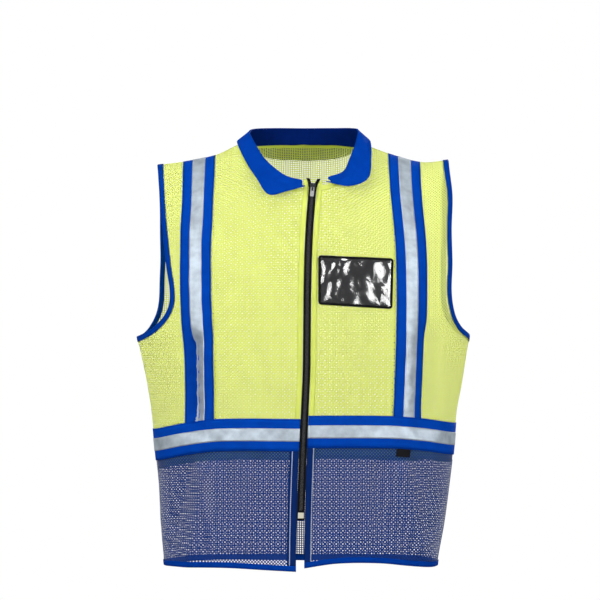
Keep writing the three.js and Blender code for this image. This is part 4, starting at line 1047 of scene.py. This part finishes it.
for node, slot, made in (("pocket_back", "black_cloth", black_cloth), ("pocket_window", "clear_vinyl", vinyl)):
    piece = grid(f"{node}_sheet", 120, 80)
    u, v = corners_of(piece)[:, :2].T
    lift = wrinkles(u, v) if node == "pocket_window" else 1.9
    dress(piece, pocket_place(u, v, lift, MARGIN), np.stack([u * SHEET_WIDTH, v * SHEET_HEIGHT], 1))
    if node == "pocket_back":
        thicken(piece, 0.5)
    finish_piece(piece, [node], made)
    flat = (SHEET_WIDTH / 1000, SHEET_HEIGHT / 1000)

# The bound rim follows a rounded frame. Across it, the tape bulges over the edge of the two sheets.
RIM_CORNER = 5.0
ring = []
for corner_x, corner_y, start in (
    (POCKET_WIDTH - RIM_CORNER, RIM_CORNER, -90),
    (POCKET_WIDTH - RIM_CORNER, POCKET_HEIGHT - RIM_CORNER, 0),
    (RIM_CORNER, POCKET_HEIGHT - RIM_CORNER, 90),
    (RIM_CORNER, RIM_CORNER, 180),
):
    for a in np.radians(np.linspace(start, start + 90, 9)):
        ring.append((corner_x + RIM_CORNER * math.cos(a), corner_y + RIM_CORNER * math.sin(a)))
ring.append(ring[0])
ring = np.array(ring)
piece = grid("pocket_rim_binding", 12, 200)
uv = corners_of(piece)
length = np.concatenate([[0], np.cumsum(np.linalg.norm(np.diff(ring, axis=0), axis=1))])
wanted = uv[:, 1] * length[-1]
spot = np.stack([np.interp(wanted, length, ring[:, column]) for column in (0, 1)], 1)
half = np.array([POCKET_WIDTH / 2, POCKET_HEIGHT / 2])
toward = half - spot
inward = np.where(np.abs(toward) > (half - RIM_CORNER) * 0.999, np.sign(toward), 0.0)
inward /= np.maximum(np.linalg.norm(inward, axis=1, keepdims=True), 1e-6)
flat = spot + inward * 4.5 * (1 - uv[:, :1])
bulge = 2.6 * np.sqrt(np.maximum(0, 1 - (2 * uv[:, 0] - 1) ** 4))
points = pocket_place(flat[:, 0] / POCKET_WIDTH, flat[:, 1] / POCKET_HEIGHT, 1.6 + bulge)
dress(piece, points, np.stack([uv[:, 0] * 5, wanted], 1))
finish_piece(piece, ["pocket_rim"], black_tape)

# Side tag: a small folded piece of black woven cloth, caught in the seam under the band on the left front.
# It is bare, and keeps the shape of its solid.
give("side_tag", black_cloth)

# Stage: a white floor far below the vest and a white backdrop behind it. They are seen, but light nothing
# and show in no reflection.
white = material("white", (1, 1, 1), 1.0)
glow = white.node_tree.nodes.new("ShaderNodeEmission")
white.node_tree.links.new(glow.outputs["Emission"], white.node_tree.nodes["Material Output"].inputs["Surface"])
for name, place, turn in (("backdrop", (0, 9, 0), 90), ("floor", (0, 0, -1.45), 0)):
    bpy.ops.object.select_all(action="DESELECT")
    bpy.ops.mesh.primitive_plane_add(size=60, location=place, rotation=(math.radians(turn), 0, 0))
    sheet = bpy.context.object
    sheet.name = name
    sheet.data.materials.append(white)
    sheet.visible_diffuse = False
    sheet.visible_glossy = False

# Soft light all round, large lamps in front and above, and one behind that shines through the net
scene = bpy.context.scene
scene.world = bpy.data.worlds.new("World")
scene.world.use_nodes = True
scene.world.node_tree.nodes["Background"].inputs["Color"].default_value = (1, 1, 1, 1)
scene.world.node_tree.nodes["Background"].inputs["Strength"].default_value = 0.4


def area_lamp(name, place, turn, wide, high, power):
    lamp = bpy.data.lights.new(name, "AREA")
    lamp.shape = "RECTANGLE"
    lamp.size = wide
    lamp.size_y = high
    lamp.energy = power
    holder = bpy.data.objects.new(name, lamp)
    holder.location = place
    holder.rotation_euler = [math.radians(angle) for angle in turn]
    scene.collection.objects.link(holder)
    return holder


area_lamp("key", (-2.4, -2.3, 1.1), (70, 0, -46), 1.2, 1.2, 74)
area_lamp("fill", (2.4, -2.4, 0.2), (84, 0, 45), 1.6, 1.6, 56)
area_lamp("rear", (0.9, 2.6, 0.5), (-76, 0, -19), 1.8, 1.8, 50)
area_lamp("top", (0, -0.4, 2.4), (8, 0, 0), 1.6, 1.6, 22)

# Two tall cards that only shiny things show, as the light patches on the vinyl and the silver
for name, place, turn in (("card_left", (-1.72, -2.46, -0.2), -35), ("card_right", (1.9, -2.3, -0.2), 40)):
    card = area_lamp(name, place, (90, 0, turn), 1.5, 2.4, 115)
    card.visible_diffuse = False
    card.visible_transmission = False

# Camera: straight in front, level with the chest, and far off so that little is foreshortened
camera = bpy.data.cameras.new("camera")
camera.sensor_width = 36
camera.lens = 36 * 9.0 / 0.93
eye = bpy.data.objects.new("camera", camera)
eye.location = (-0.006, -9.05, -0.24)
eye.rotation_euler = (math.radians(90), 0, 0)
scene.collection.objects.link(eye)
scene.camera = eye
scene.view_settings.view_transform = "Standard"
